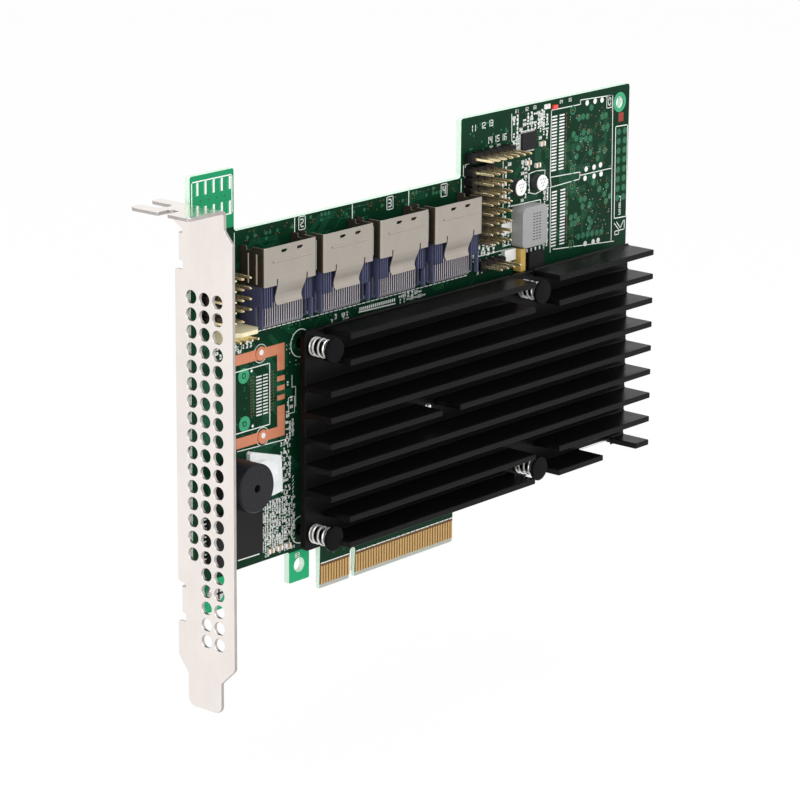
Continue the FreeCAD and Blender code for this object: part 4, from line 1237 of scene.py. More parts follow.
@dataclass
class Socket:
    """One internal storage socket: folded cage, ribbed moulding and contacts."""

    number: int
    wall: float = 0.35
    bend: float = 0.35
    flap: tuple[float, float] = (-4.4, 5.5)
    slots: tuple[float, float] = (-2.25, 3.2)
    pitch: float = 0.8
    cage_low: float = 83.1
    cage_high: float = 92.5
    depth: float = 8.215
    nose_half: float = 7.2
    nose_top: float = 88.0
    step: float = 78.6

    def __post_init__(self) -> None:
        """Read the boxes of the socket's nodes."""
        body_low, body_high = node_box(f"sas_housing_{self.number}")
        self.x = (body_low[0] + body_high[0]) / 2
        self.front = float(node_box("circuit_board")[0][1])
        self.half = (body_high[0] - body_low[0]) / 2 + 0.2
        self.outer = self.front - self.depth
        self.neutral = self.bend + self.wall / 2
        self.arc = self.neutral * math.pi / 2
        self.edge = self.half - self.wall - self.bend

    def outline(self) -> Array:
        """Draw the cage's flat pattern: flap below, and a notch in each side wall.

        Returns:
            Points (across, up).
        """
        end = self.edge + self.arc + (self.front - self.outer - self.wall - self.bend)
        low, high = self.cage_low, self.cage_high
        left, right = self.flap
        notch = self.edge + self.arc + 3.6
        slit = low + 1.5
        flap_end = low - 5.4
        return eased([
            (-end, low, 0.3), (left - 0.4, low), (left - 0.4, slit, 0.15),
            (left, slit, 0.15), (left, low), (left + 0.5, flap_end, 0.4),
            (right - 0.5, flap_end, 0.4), (right, low), (right, slit, 0.15),
            (right + 0.4, slit, 0.15), (right + 0.4, low), (end, low, 0.3),
            (end, high, 0.6), (notch + 1.5, high, 0.25), (notch + 1.5, high - 0.9, 0.3),
            (notch, high - 0.9, 0.3), (notch, high, 0.5), (-notch, high, 0.5),
            (-notch, high - 0.9, 0.3), (-notch - 1.5, high - 0.9, 0.3),
            (-notch - 1.5, high, 0.25), (-end, high, 0.6),
        ], 4)

    def fold(self, points: Array) -> Array:
        """Fold the flat pattern round its two upright bends and bend the flap inwards.

        Down the flap, depth follows straight pieces between a few heights, from the wall to a
        waist and out again at the tip.

        Args:
            points: flat (across, up, depth), with depth from the middle of the sheet.

        Returns:
            Folded points as (x, y, z).
        """
        u, v, depth = points.T
        over, out = curl(np.abs(u) - self.edge, -depth, self.neutral)
        on = np.abs(u) > self.edge
        x = np.where(on, np.sign(u) * (self.edge + out), u)
        y = np.where(on, self.outer + self.wall + self.bend - over,
                     self.outer + self.wall / 2 + depth)
        down = np.clip(self.cage_low + 0.9 - v, 0, None)
        flap = (np.abs(u - sum(self.flap) / 2) < (self.flap[1] - self.flap[0]) / 2 + 0.05)
        flap &= down > 0
        y += flap * np.interp(down, (0.0, 0.9, 2.4, 3.9, 4.7, 5.2, 6.5),
                              (0.0, 0.10, 0.62, 1.18, 1.36, 1.30, 0.72))
        drop = down * (1 - 0.045 * np.clip(down / 3, 0, 1))
        return np.stack([x, y, np.where(flap, self.cage_low + 0.9 - drop, v)], -1)

    def build(self) -> None:
        """Make the cage, the moulding and the contacts."""
        slots = [eased([(slot - 1.0, 90.75, 0.3), (slot + 1.0, 90.75, 0.3),
                        (slot + 1.0, 91.45, 0.3), (slot - 1.0, 91.45, 0.3)], 4)
                 for slot in self.slots]
        lines = [(0, side * (self.edge + self.arc * step / 5))
                 for side in (-1, 1) for step in range(6)]
        lines += [(1, self.cage_low + 0.9 - 0.35 * step) for step in range(18)]
        points, faces = flat_sheet(self.outline(), slots, self.wall, 0.05, lines)
        pile = Pile()
        # Side-wall faces take the darker copy of the cage plating (painted shade); the front keeps
        # the plain cage finish.
        pile.parted(self.fold(points) + (self.x, 0, 0), faces, np.abs(points[:, 0]),
                    self.edge + self.arc * 0.55, 1)
        self.add_ribs(pile)
        make_piece(f"cage_{self.number}", pile, Dressing((Look.CAGE, Look.CAGE_WALL_SHADE)),
                   f"sas_shell_{self.number}")
        self.build_moulding()
        self.build_contacts()

    def add_ribs(self, pile: Pile) -> None:
        """Raise the long ridge on the front and two ribs on each side wall.

        Args:
            pile: the cage so far.
        """
        ridge = circle(0.32, 10, (self.outer + 0.1, 88.9))
        pile.prism(ridge, Plane.BRACKET, self.x - 6.1, self.x + 7.1)
        # The side-wall ribs keep the plain cage finish, so they read lighter than the painted shade
        # around them.
        for side in (-1, 1):
            for y in (self.outer + 2.6, self.outer + 5.3):
                rib = circle(0.3, 10, (self.x + side * (self.half - 0.1), y))
                pile.prism(rib, Plane.FLANGE, self.cage_low + 0.6, self.cage_high - 1.6)

    def build_moulding(self) -> None:
        """Block with a stepped front, upright ribs, a card slot and a rear lip, and painted shade
        below the step.
        """
        low = node_box(f"sas_housing_{self.number}")[0][2]
        face, foot = self.front - 6.2, self.front - 5.1
        half = self.half - 0.2
        ledge = self.cage_low + 1.4
        pile = Pile()
        pile.prism([(self.front, low), (self.front, self.cage_low), (face, self.cage_low),
                    (face, self.step), (foot, self.step - 0.5), (foot, low)],
                   Plane.BRACKET, self.x - half, self.x + half)
        inner = self.half - self.wall - 0.1
        pile.box((self.x - inner, self.outer + self.wall + 0.1, self.cage_low),
                 (self.x + inner, self.front, ledge))
        for near, far in ((5.9, 4.2), (2.9, 1.4)):
            pile.box((self.x - self.nose_half, self.front - near, ledge),
                     (self.x + self.nose_half, self.front - far, self.nose_top))
        for side in (-1, 1):
            end = self.x + side * self.nose_half
            pile.box((end, self.front - 4.25, ledge),
                     (end - side * 0.9, self.front - 2.85, self.nose_top))
        across = np.arange(-11, 12) * self.pitch * 0.98
        outside = (across < self.flap[0] - 0.4) | (across > self.flap[1] + 0.4)
        pile.bars(across[outside & (np.abs(across) < half - 0.2)] + self.x, 0.2,
                  (face - 1.0, self.step - 0.9), (face + 0.1, self.cage_low - 0.05))
        for side in (-1, 1):
            cheek = self.x + side * half
            pile.box((cheek, face - 1.0, low),
                     (cheek - side * 0.55, face + 0.1, self.cage_low - 0.05))
        # Dark slats between the contacts and a near-black plate on the recessed face under the
        # step: painted shade on the navy moulding.
        pile.bars((np.arange(19) - 9.0) * self.pitch + self.x, 0.12, (foot - 0.2, low + 0.4),
                  (foot + 0.1, self.step), 1)
        pile.box((self.x - half + 0.6, foot - 0.03, low + 0.3),
                 (self.x + half - 0.6, foot + 0.2, self.step - 0.3), 1)
        make_piece(f"moulding_{self.number}", pile, Dressing((Look.NAVY, Look.DARK), 0.06, 1),
                   f"sas_housing_{self.number}")

    def build_contacts(self) -> None:
        """Bent contact strips: down from the moulding, back to the board and along a pad."""
        plane = self.front - 5.5
        line = np.array([
            (plane + 0.5, 78.45), (plane, 78.35), (plane, 73.0), (plane + 0.25, 72.55),
            (self.front - 0.25, 72.45), (self.front - 0.02, 72.2), (self.front - 0.02, 71.3)])
        way = np.gradient(line, axis=0)
        way /= np.linalg.norm(way, axis=1)[:, None]
        square = np.stack([-way[:, 1], way[:, 0]], -1) * 0.08
        section = np.concatenate([line + square, (line - square)[::-1]])
        pile = Pile()
        for centre in self.x + (np.arange(18) - 8.5) * self.pitch:
            pile.prism(section, Plane.BRACKET, centre - 0.12, centre + 0.12)
        make_piece(f"contact_row_{self.number}", pile, Dressing((Look.CONTACT,)),
                   f"sas_contacts_{self.number}")


# ---- headers

@dataclass
class Header:
    """A moulded strip with square pins and their soldered ends."""

    name: str
    columns: int
    rows: int
    missing: tuple[tuple[int, int], ...] = ()
    pitch: float = 2.54
    pin: float = 0.64

    def places(self) -> Array:
        """Set out the pins from the moulded strip's box.

        Returns:
            (x, z) of each pin.
        """
        low, _ = node_box(f"{self.name}_housing")
        start = np.array([low[0], low[2]]) + self.pitch / 2
        spots = [(column, row) for row in range(self.rows) for column in range(self.columns)
                 if (column, row) not in self.missing]
        return start + np.array(spots) * self.pitch

    def build(self) -> None:
        """Make the strip, the pins and their solder."""
        low, high = node_box(f"{self.name}_housing")
        tip = node_box(f"{self.name}_pins")[0][1]
        back = node_box("circuit_board")[1][1]
        strip = Pile()
        for row in range(self.rows):
            for column in range(self.columns):
                x = low[0] + self.pitch * column
                z = low[2] + self.pitch * row
                cell = eased([(x, z, 0.4), (x + self.pitch, z, 0.4),
                              (x + self.pitch, z + self.pitch, 0.4), (x, z + self.pitch, 0.4)], 2)
                strip.prism(cell, Plane.BOARD, low[1], high[1])
        make_piece(f"{self.name}_strip", strip, Dressing((Look.BLACK,), 0.08, 1, merge=False),
                   f"{self.name}_housing")
        pins, solder = Pile(), Pile()
        half = self.pin / 2
        square = np.array([(-half, -half), (half, -half), (half, half), (-half, half)])
        for place in self.places():
            rows = [Plane.BOARD.stand(place + square * size, y)
                    for size, y in ((0.45, tip), (1.0, tip + 0.55), (1.0, high[1] - 0.1))]
            pins.grid(np.stack(rows))
            solder.lathe([(0.0, back + 1.3), (0.3, back + 1.3), (0.36, back + 0.9),
                          (0.55, back + 0.35), (0.85, back + 0.05), (0.9, back - 0.02),
                          (0.0, back - 0.02)], place, 12)
        make_piece(f"{self.name}_posts", pins, Dressing((Look.PIN_GOLD,), 0.05, 1),
                   f"{self.name}_pins")
        make_piece(f"{self.name}_solder", solder, Dressing((Look.TIN,)))


# ---- printed and plated detail

SEGMENTS = {"a": ((0, 2), (1, 2)), "b": ((1, 2), (1, 1)), "c": ((1, 1), (1, 0)),
            "d": ((0, 0), (1, 0)), "e": ((0, 0), (0, 1)), "f": ((0, 1), (0, 2)),
            "g": ((0, 1), (1, 1))}
NUMERALS = {"0": "abcdef", "1": "bc", "2": "abged", "3": "abgcd", "4": "fgbc", "5": "afgcd",
            "6": "afgedc", "7": "abc", "8": "abcdefg", "9": "abcdfg"}


# Height of each printed or plated layer above the board's face.
RISE = {Look.TRACE: 0.012, Look.VIA: 0.020, Look.RUST: 0.024, Look.TIN: 0.040, Look.SILK: 0.030,
        Look.COPPER: 0.260, Look.MAROON: 0.030, Look.MASK: 0.016, Look.PALE_VIA: 0.020}


def column(x: float, heights: Array) -> Array:
    """Spots (x, z) one above another."""
    return np.stack([np.full(len(heights), x), heights], -1)


def lattice(across: Array, up: Array) -> Array:
    """Every spot (x, z) of a grid, row by row."""
    return np.stack(np.meshgrid(across, up), -1).reshape(-1, 2)


@dataclass
class Artwork:
    """Tracks, vias, bare pads and silkscreen on the board's two faces."""

    board: Board
    layers: dict[Look, Pile] = field(default_factory=dict)
    chance: np.random.Generator = field(default_factory=lambda: np.random.default_rng(11))

    def layer(self, look: Look) -> Pile:
        """The pile of one finish."""
        return self.layers.setdefault(look, Pile())

    def span(self, look: Look, behind: bool = False, extra: float = 0.0) -> tuple[float, float]:
        """Find where a layer lies.

        Args:
            look: finish of the layer.
            behind: on the solder side.
            extra: added height.

        Returns:
            Y from inside the board to the layer's height above the face, smaller first.
        """
        rise = RISE[look] + extra
        if behind:
            return self.board.back - 0.05, self.board.back + rise
        return self.board.front - rise, self.board.front + 0.05

    def strokes(self, starts: Array, ends: Array, width: float, look: Look = Look.SILK,
                behind: bool = False, extra: float = 0.0) -> None:
        """Add straight strokes of one finish between spots (x, z)."""
        self.layer(look).strokes(starts, ends, width, *self.span(look, behind, extra))

    def line(self, width: float, *spots: Spot, shut: bool = False, behind: bool = False) -> None:
        """Print a line through spots (x, z), closed if shut."""
        path = np.array(spots + spots[:1] if shut else spots, float)
        self.strokes(path[:-1], path[1:], width, behind=behind)

    def frame(self, low: Spot, high: Spot, width: float = 0.2,
              behind: bool = False) -> None:
        """Print a rectangle."""
        self.line(width, low, (high[0], low[1]), high, (low[0], high[1]), shut=True,
                  behind=behind)

    def dashes(self, start: float, end: float, step: float, share: float, z: float,
               width: float) -> None:
        """Print a level row of dashes.

        Args:
            start: first X.
            end: last X.
            step: from one dash to the next.
            share: length of a dash.
            z: height of the row.
            width: width of the stroke.
        """
        dash = np.arange(start, end, step)
        level = np.full_like(dash, z)
        self.strokes(np.stack([dash, level], -1), np.stack([dash + share, level], -1), width)

    def ring(self, look: Look, centre: Spot, inner: float, outer: float,
             extra: float = 0.0) -> None:
        """Add a flat ring."""
        self.layer(look).annulus(centre, inner, outer, *self.span(look, extra=extra))

    def pads(self, look: Look, centres: Any, size: Spot, behind: bool = False,
             extra: float = 0.0) -> None:
        """Add rectangular pads.

        Args:
            look: finish of the pads.
            centres: (x, z) pairs.
            size: width along X and height along Z.
            behind: on the solder side.
            extra: added height.
        """
        centres = np.asarray(centres, float).reshape(-1, 2)
        half = np.array(size, float) / 2
        low, high = self.span(look, behind, extra)
        self.layer(look).blocks(Plane.BOARD.stand(centres - half, low),
                                Plane.BOARD.stand(centres + half, high))

    def dots(self, look: Look, centres: Any, radius: float, sides: int = 12,
             both: bool = False, extra: float = 0.0) -> None:
        """Add round pads.

        Args:
            look: finish of the pads.
            centres: (x, z) pairs.
            radius: radius of each.
            sides: corners of each.
            both: on both faces.
            extra: added height.
        """
        for behind in (False, True) if both else (False,):
            low, high = self.span(look, behind, extra)
            self.layer(look).discs(centres, radius, low, high, sides)

    def number(self, text: str, spot: Spot, height: float, width: float = 0.16,
               look: Look = Look.SILK, behind: bool = False) -> None:
        """Print plain numerals, seven strokes to an eight.

        Args:
            text: the digits.
            spot: lower left corner (x, z).
            height: height of a digit.
            width: width of a stroke.
            look: finish of the strokes.
            behind: on the solder side.
        """
        way = np.array((-1.0 if behind else 1.0, 1.0))
        ends = np.concatenate([
            np.array([SEGMENTS[part] for part in NUMERALS[digit]]) * height * 0.5 * way
            + (spot + np.array((place * height * 0.85, 0.0)) * way)
            for place, digit in enumerate(text)])
        self.strokes(ends[:, 0], ends[:, 1], width, look, behind)

    def tracks(self, low: Spot, high: Spot, count: int,
               behind: bool = False) -> None:
        """Lay bundles of parallel tracks that turn once by 45 degrees.

        A lane's three spots are the bundle's own spots, moved square to each leg by the lane's
        offset, and at the turn along the bisector by the offset over the cosine of 22.5 degrees.

        Args:
            low: lower corner (x, z) of the area.
            high: upper corner of the area.
            count: number of bundles.
            behind: on the solder side.
        """
        low, high = np.array(low, float), np.array(high, float)
        for _ in range(count):
            start = self.chance.uniform(low, high)
            ways = int(self.chance.integers(8)) + np.array([0, int(self.chance.choice([-1, 1]))])
            legs = np.stack([np.cos(ways * math.pi / 4), np.sin(ways * math.pi / 4)], -1)
            square = np.stack([-legs[:, 1], legs[:, 0]], -1)
            middle = square.sum(0) / np.linalg.norm(square.sum(0)) / math.cos(math.pi / 8)
            lanes = (np.arange(self.chance.integers(1, 7)) * 0.45)[:, None]
            run = self.chance.uniform(2.0, 9.0, 2)
            first = start + lanes * square[0]
            turn = start + legs[0] * run[0] + lanes * middle
            last = start + legs[0] * run[0] + legs[1] * run[1] + lanes * square[1]
            spots = np.stack([first, turn, last])
            inside = ((spots > low) & (spots < high)).all(axis=(0, 2))
            if not inside.any():
                continue
            lift = float(self.chance.uniform(-0.006, 0.006))
            for here, there in ((0, 1), (1, 2)):
                self.strokes(spots[here][inside], spots[there][inside], 0.17, Look.TRACE, behind,
                             lift)

    def scatter(self, look: Look, low: Spot, high: Spot, count: int,
                radius: float, pitch: float = 0.65) -> None:
        """Sprinkle vias on a grid, each drilled through both faces.

        Args:
            look: finish of the vias.
            low: lower corner (x, z) of the area.
            high: upper corner.
            count: how many are drawn, before doubles fall together.
            radius: radius of each.
            pitch: pitch of the grid.
        """
        spots = self.chance.uniform(low, high, (count, 2))
        spots = np.unique((spots / pitch).round(), axis=0) * pitch
        self.dots(look, spots, radius, 8, both=True)

    def outlined(self, *areas: Spot) -> None:
        """Fill areas with pairs of tiny pads, most of them inside a printed outline.

        Args:
            areas: low x, low z, high x, high z, step and share of places filled, for each.
        """
        for left, low, right, high, step, share in areas:
            spots = lattice(np.arange(left, right, step), np.arange(low, high, step * 0.78))
            spots = spots[self.chance.random(len(spots)) < share]
            upright = self.chance.random(len(spots)) < 0.5
            for turned in (False, True):
                here = spots[upright == turned]
                if not len(here):
                    continue
                way = -1 if turned else 1
                shift = np.array((step * 0.24, 0.0))[::way]
                self.pads(Look.TIN, np.concatenate([here - shift, here + shift]),
                          (step * 0.3, step * 0.3), extra=0.1)
                half = np.array((step * 0.44, step * 0.26))[::way]
                for spot in here[self.chance.random(len(here)) < 0.6]:
                    self.line(0.12, spot - half, spot + half * (1, -1), spot + half,
                              spot + half * (-1, 1))

    def build(self) -> None:
        """Draw every region and make one piece for each finish."""
        for region in (self.ears, self.socket_strip, self.right_side, self.power_corner,
                       self.left_side, self.foot, self.underside):
            region()
        for look, pile in self.layers.items():
            make_piece(f"art_{look.value.name}", pile, Dressing((look,), merge=False))

    def ears(self) -> None:
        """Pads and outline on the upper left ear, numerals on the lug."""
        self.frame((-56.3, 100.3), (-42.9, 109.5), 0.28)
        for step in range(5):
            x = -54.4 + step * 2.7
            self.pads(Look.TIN, [(x, 101.85), (x, 107.7)], (0.6, 3.1))
            self.pads(Look.PALE_VIA, [(x - 0.55, 101.7), (x - 0.55, 107.5)], (0.45, 2.9))
            self.dots(Look.VIA, [(x + 1.0, 104.8)], 0.3, 8)
        self.number("83", (-21.2, 10.4), 1.1, 0.2)

    def socket_strip(self) -> None:
        """Marks above, between and below the four sockets."""
        for x in (-21.3, -0.57, 20.5, 40.8):
            self.line(0.25, (x, 95.6), (x, 90.0))
        for text, x, z in (("2", -18.7, 94.0), ("3", 13.4, 93.8), ("4", 34.1, 93.8)):
            self.number(text, (x - 0.45, z - 0.9), 1.8, 0.28)
            self.frame((x - 1.15, z - 1.6), (x + 1.15, z + 1.6))
        self.line(0.18, (-42.2, 72.0), (-42.2, 95.4))
        self.dashes(-41.0, 43.0, 1.7, 1.1, 70.2, 0.22)
        self.tracks((-42.0, 86.0), (43.0, 95.2), 45)
        self.tracks((-42.0, 66.5), (57.0, 72.0), 45)
        self.scatter(Look.RUST, (-41.0, 93.0), (43.0, 95.2), 70, 0.17)
        self.scatter(Look.VIA, (-41.0, 92.6), (43.0, 95.0), 34, 0.5, 1.3)
        self.scatter(Look.VIA, (-30.0, 68.6), (56.0, 71.5), 60, 0.25)
        self.line(0.35, (2.1, 68.2), (15.6, 67.9))
        self.pads(Look.SILK, column(68.9, np.arange(2.4, 15.6, 0.72))[:, ::-1], (0.4, 0.8))
        self.outlined((17.5, 68.2, 28.0, 70.0, 1.5, 0.8), (-8.0, 67.6, -1.0, 69.0, 1.4, 0.8),
                      (43.5, 75.0, 56.0, 77.5, 2.1, 0.8))

    def right_side(self) -> None:
        """The tall right part: two mezzanine footprints and a debug row."""
        self.line(0.22, (77.1, 90.5), (77.1, 108.2), (89.4, 108.1), (89.3, 109.25),
                  (103.3, 108.7), (104.1, 69.0))
        self.line(0.22, (77.2, 90.5), (89.8, 90.0), (89.65, 88.15), (77.55, 87.8), shut=True)
        self.line(0.22, (77.3, 87.8), (77.7, 70.4))
        self.line(0.22, (89.8, 89.1), (103.7, 89.0))
        self.line(0.22, (79.0, 71.0), (105.2, 68.8))
        self.line(0.25, (104.9, 100.0), (110.1, 99.8), (110.5, 74.8), (105.2, 75.0), shut=True)
        self.line(0.22, (105.4, 73.6), (107.4, 71.6), (107.4, 70.4), (105.6, 70.4),
                  (105.6, 71.4), (109.8, 71.4), (109.8, 73.8))
        self.line(0.22, (106.4, 73.8), (108.0, 72.0), (109.4, 73.8))
        self.frame((100.75, 105.5), (103.2, 108.7))
        self.number("0", (101.5, 106.2), 1.9, 0.25)
        for left, right, top, bottom in ((78.5, 81.6, 106.35, 92.15), (79.0, 82.6, 86.35, 71.95)):
            rows = np.linspace(top, bottom, 18)
            for x in (left, right):
                self.pads(Look.TIN, column(x, rows), (2.1, 0.4))
            vias = np.concatenate([rows, rows[::2] + 0.4])
            self.dots(Look.RUST, column(right + 1.9, vias), 0.16, 6, both=True)
        self.dots(Look.TIN, OVALS, 0.72, 16)
        self.dots(Look.VIA, VIA_SPOTS, 0.85, 14, both=True)
        for spot in ((86.2, 107.0), (86.5, 91.3), (86.65, 87.0), (86.7, 71.1)):
            self.ring(Look.VIA, spot, 0.75, 1.2, 0.02)
            self.dots(Look.RUST, [spot], 0.3, 8)
        self.dots(Look.VIA, lattice((106.4, 109.0), np.linspace(98.4, 80.4, 8)), 0.9, 14,
                  both=True)
        for digit, z in (("7", 79.4), ("8", 77.6), ("9", 75.8)):
            self.number(digit, (107.2, z), 1.3, 0.25)
        self.ring(Look.PALE_VIA, (106.4, 106.4), 1.62, 2.7)
        self.pads(Look.MAROON, [(107.1, 102.3)], (2.2, 2.4))
        self.number("7", (106.7, 101.6), 1.5, 0.25, Look.RUST)
        self.scatter(Look.RUST, (84.5, 71.0), (103.0, 107.0), 130, 0.17)
        self.scatter(Look.TIN, (84.5, 71.0), (103.0, 107.0), 60, 0.10)
        self.tracks((77.0, 70.0), (104.0, 108.5), 42)
        self.tracks((58.0, 70.0), (77.0, 110.0), 30)

    def power_corner(self) -> None:
        """Outlines round the header, controller, cans and inductor."""
        self.line(0.2, (42.3, 92.5), (42.3, 99.0), (56.2, 99.8), (63.3, 102.0))
        self.pads(Look.SILK, [(74.4, 109.5), (75.6, 109.5)], (0.8, 1.2), extra=0.5)
        for text, x in (("61", 62.2), ("62", 66.4), ("63", 69.6), ("64", 80.6), ("65", 84.4)):
            self.number(text, (x, 109.5), 0.8, 0.15)
        self.line(0.2, (41.6, 98.9), (41.6, 96.2))
        self.line(0.2, (57.5, 97.6), (58.0, 75.2))
        self.line(0.2, (60.7, 109.4), (60.9, 102.3), (63.5, 102.3))
        self.line(0.2, (58.4, 75.3), (61.0, 75.3))
        self.line(0.25, (61.0, 85.4), (73.2, 85.2), (73.3, 84.0))
        self.line(0.22, (68.0, 92.8), (71.1, 93.1), (74.9, 92.8), (74.6, 88.6), (73.4, 87.5),
                  (70.9, 87.05), (68.6, 87.7), shut=True)
        for z in (74.33, 73.3):
            self.line(0.2, (45.9, z), (59.7, z))
        self.outlined((61.6, 104.9, 73.4, 109.0, 1.45, 0.8), (61.6, 99.2, 64.0, 104.6, 1.45, 0.8),
                      (72.6, 101.6, 76.4, 108.6, 1.35, 0.8), (58.6, 86.0, 61.6, 97.0, 1.5, 0.6),
                      (65.5, 86.2, 68.4, 97.0, 1.3, 0.7), (74.8, 72.0, 76.9, 90.0, 1.2, 0.8),
                      (58.6, 76.0, 61.0, 84.4, 1.4, 0.6), (43.0, 70.4, 57.0, 72.0, 1.6, 0.5))
        for text, x, z, height in (("14", 50.8, 103.2, 1.5), ("15", 53.7, 103.2, 1.5),
                                   ("16", 56.6, 103.2, 1.5), ("11", 44.3, 107.2, 1.4),
                                   ("12", 48.2, 107.4, 1.4), ("13", 51.2, 107.6, 1.4),
                                   ("20", 52.0, 101.4, 0.9), ("30", 55.0, 101.5, 0.9)):
            self.number(text, (x, z), height, 0.15 + height * 0.05)
        self.scatter(Look.RUST, (58.5, 86.0), (76.5, 109.0), 60, 0.15)
        self.scatter(Look.VIA, (43.0, 100.6), (60.0, 109.0), 26, 0.3)

    def left_side(self) -> None:
        """Battery module footprint in its copper frame, and the dense parts below it."""
        self.frame((-44.0, 46.4), (-30.2, 61.6), 0.24)
        for x, z in ((-33.4, 64.6), (-32.8, 43.9)):
            self.dots(Look.COPPER, [(x, z)], 1.75, 24, extra=0.02)
            self.dots(Look.TIN, [(x, z + 0.3)], 0.7, 14, extra=0.36)
            for start in (0.5, 0.5 + math.pi):
                turn = np.linspace(start, start + math.pi - 1.0, 9)
                self.line(0.25, *np.stack([x + 2.25 * np.cos(turn), z + 2.25 * np.sin(turn)], -1))
        for spot in ((-39.2, 60.2), (-39.0, 48.3)):
            self.dots(Look.PALE_VIA, [spot], 1.9, 24)
            self.ring(Look.MASK, spot, 0.45, 0.7, RISE[Look.TIN] - RISE[Look.MASK])
        self.dots(Look.SILK, [(-36.5, 60.9), (-36.2, 47.2)], 0.45, 4)
        rows = np.linspace(59.0, 49.5, 13)
        for x, wide in ((-33.95, 1.9), (-31.7, 1.7)):
            self.pads(Look.TIN, column(x, rows), (wide, 0.32))
        for x in (-35.9, -36.7, -29.7, -28.9):
            self.dots(Look.RUST, column(x, rows + 0.36), 0.17, 6)
        self.outlined((-32.8, 15.0, -27.4, 27.0, 0.85, 0.85),
                      (-26.8, 13.6, -21.0, 27.4, 0.85, 0.75),
                      (-26.2, 28.0, -22.4, 41.0, 1.0, 0.45),
                      (-24.2, 41.5, -21.4, 46.0, 1.05, 0.7),
                      (-23.9, 47.2, -21.6, 57.0, 1.3, 0.25))
        slants = lattice(np.arange(-26.0, -21.0, 1.25), np.arange(15.0, 32.0, 0.95))
        slants = slants[self.chance.random(len(slants)) < 0.6]
        self.strokes(slants, slants + (0.45, 0.5), 0.16)
        self.line(0.3, (-41.5, 14.7), (-34.2, 14.6))
        self.line(0.2, (-41.5, 42.0), (-24.0, 41.4), (-23.8, 39.2))
        self.frame((-23.6, 47.6), (-21.4, 51.6), 0.18)
        self.line(0.18, (-21.0, 49.0), (-21.0, 54.0), (-22.3, 54.0), (-22.3, 57.0))
        for z in (17.3, 64.5):
            self.ring(Look.SILK, (-19.3, z), 3.3, 3.55)
        self.number("51", (-41.5, 66.6), 1.1, 0.18)
        self.number("26", (-32.0, 13.2), 1.0, 0.16)
        self.outlined((-48.5, 66.4, -36.5, 68.6, 1.3, 0.6))
        self.scatter(Look.TIN, (-26.0, 58.0), (-20.0, 68.0), 14, 0.14, 1.1)
        self.scatter(Look.VIA, (-42.0, 15.0), (-20.0, 66.0), 120, 0.2)
        self.tracks((-44.0, 13.0), (-19.5, 69.0), 50)
        self.tracks((-56.5, 5.0), (-45.5, 97.0), 30)

    def foot(self) -> None:
        """Strip between the heatsink and the card edge."""
        level = node_box("edge_contacts_front")[1][2] + 0.75
        self.line(0.25, (-11.6, level), (-1.4, level))
        self.dashes(1.6, 38.0, 1.9, 1.4, level, 0.25)
        self.frame((-11.2, 11.2), (-8.6, 13.4))
        self.tracks((-11.6, 8.6), (38.8, 13.0), 60)
        self.scatter(Look.VIA, (-11.0, 8.4), (38.0, 12.8), 50, 0.24)

    def underside(self) -> None:
        """Tracks, outlines and numerals on the solder side."""
        self.tracks((-56, 13), (40, 95), 150, behind=True)
        self.tracks((41, 14), (109, 110), 120, behind=True)
        for low, high in (((-12, 20), (30, 60)), ((62, 30), (96, 62)), ((43, 75), (56, 98))):
            self.frame(low, high, 0.25, behind=True)
        self.number("20", (-32, 80), 2.6, 0.35, behind=True)
        for left, low, right, high in ((-8, 24, 26, 56), (66, 33, 92, 59)):
            grid = lattice(np.arange(left, right, 1.27), np.arange(low, high, 1.27))
            from_middle = np.abs(grid - ((left + right) / 2, (low + high) / 2)).max(axis=1)
            grid = grid[(from_middle < 4.5) | (from_middle > 7.0)]
            self.layer(Look.VIA).discs(grid, 0.3, *self.span(Look.VIA, True), 6)


OVALS = ((92.2, 108.1), (95.6, 108.1), (98.6, 108.0), (92.4, 90.4), (95.8, 90.4), (98.6, 90.6),
         (92.0, 88.0), (95.9, 88.0), (98.95, 88.1), (92.67, 70.22), (96.15, 70.13),
         (98.33, 70.17))
VIA_SPOTS = (
    (88.9, 104.5), (90.6, 104.7), (92.5, 104.5), (94.1, 106.6), (86.7, 100.5), (87.9, 99.2),
    (91.0, 100.4), (93.0, 100.3), (90.0, 98.6), (92.0, 98.6), (93.9, 98.4), (88.8, 96.6),
    (88.1, 94.4), (94.1, 94.6), (97.3, 92.6), (100.4, 94.3), (99.5, 100.5), (101.3, 100.6),
    (100.4, 103.7), (99.0, 103.5), (86.3, 78.3), (88.2, 78.5), (88.0, 76.5), (86.7, 76.5),
    (89.4, 77.2), (90.4, 82.5), (92.2, 82.5), (91.2, 80.5), (94.3, 80.6), (84.2, 82.5),
    (84.1, 80.0), (101.4, 80.4), (100.6, 82.4), (101.6, 84.5), (95.7, 86.3), (94.2, 76.7),
    (95.0, 75.6), (94.3, 74.3), (89.7, 72.6), (91.7, 72.6), (93.7, 72.6), (95.6, 72.5),
    (97.7, 72.4), (99.7, 72.3), (103.1, 81.5), (98.3, 84.1))


# ---- small parts

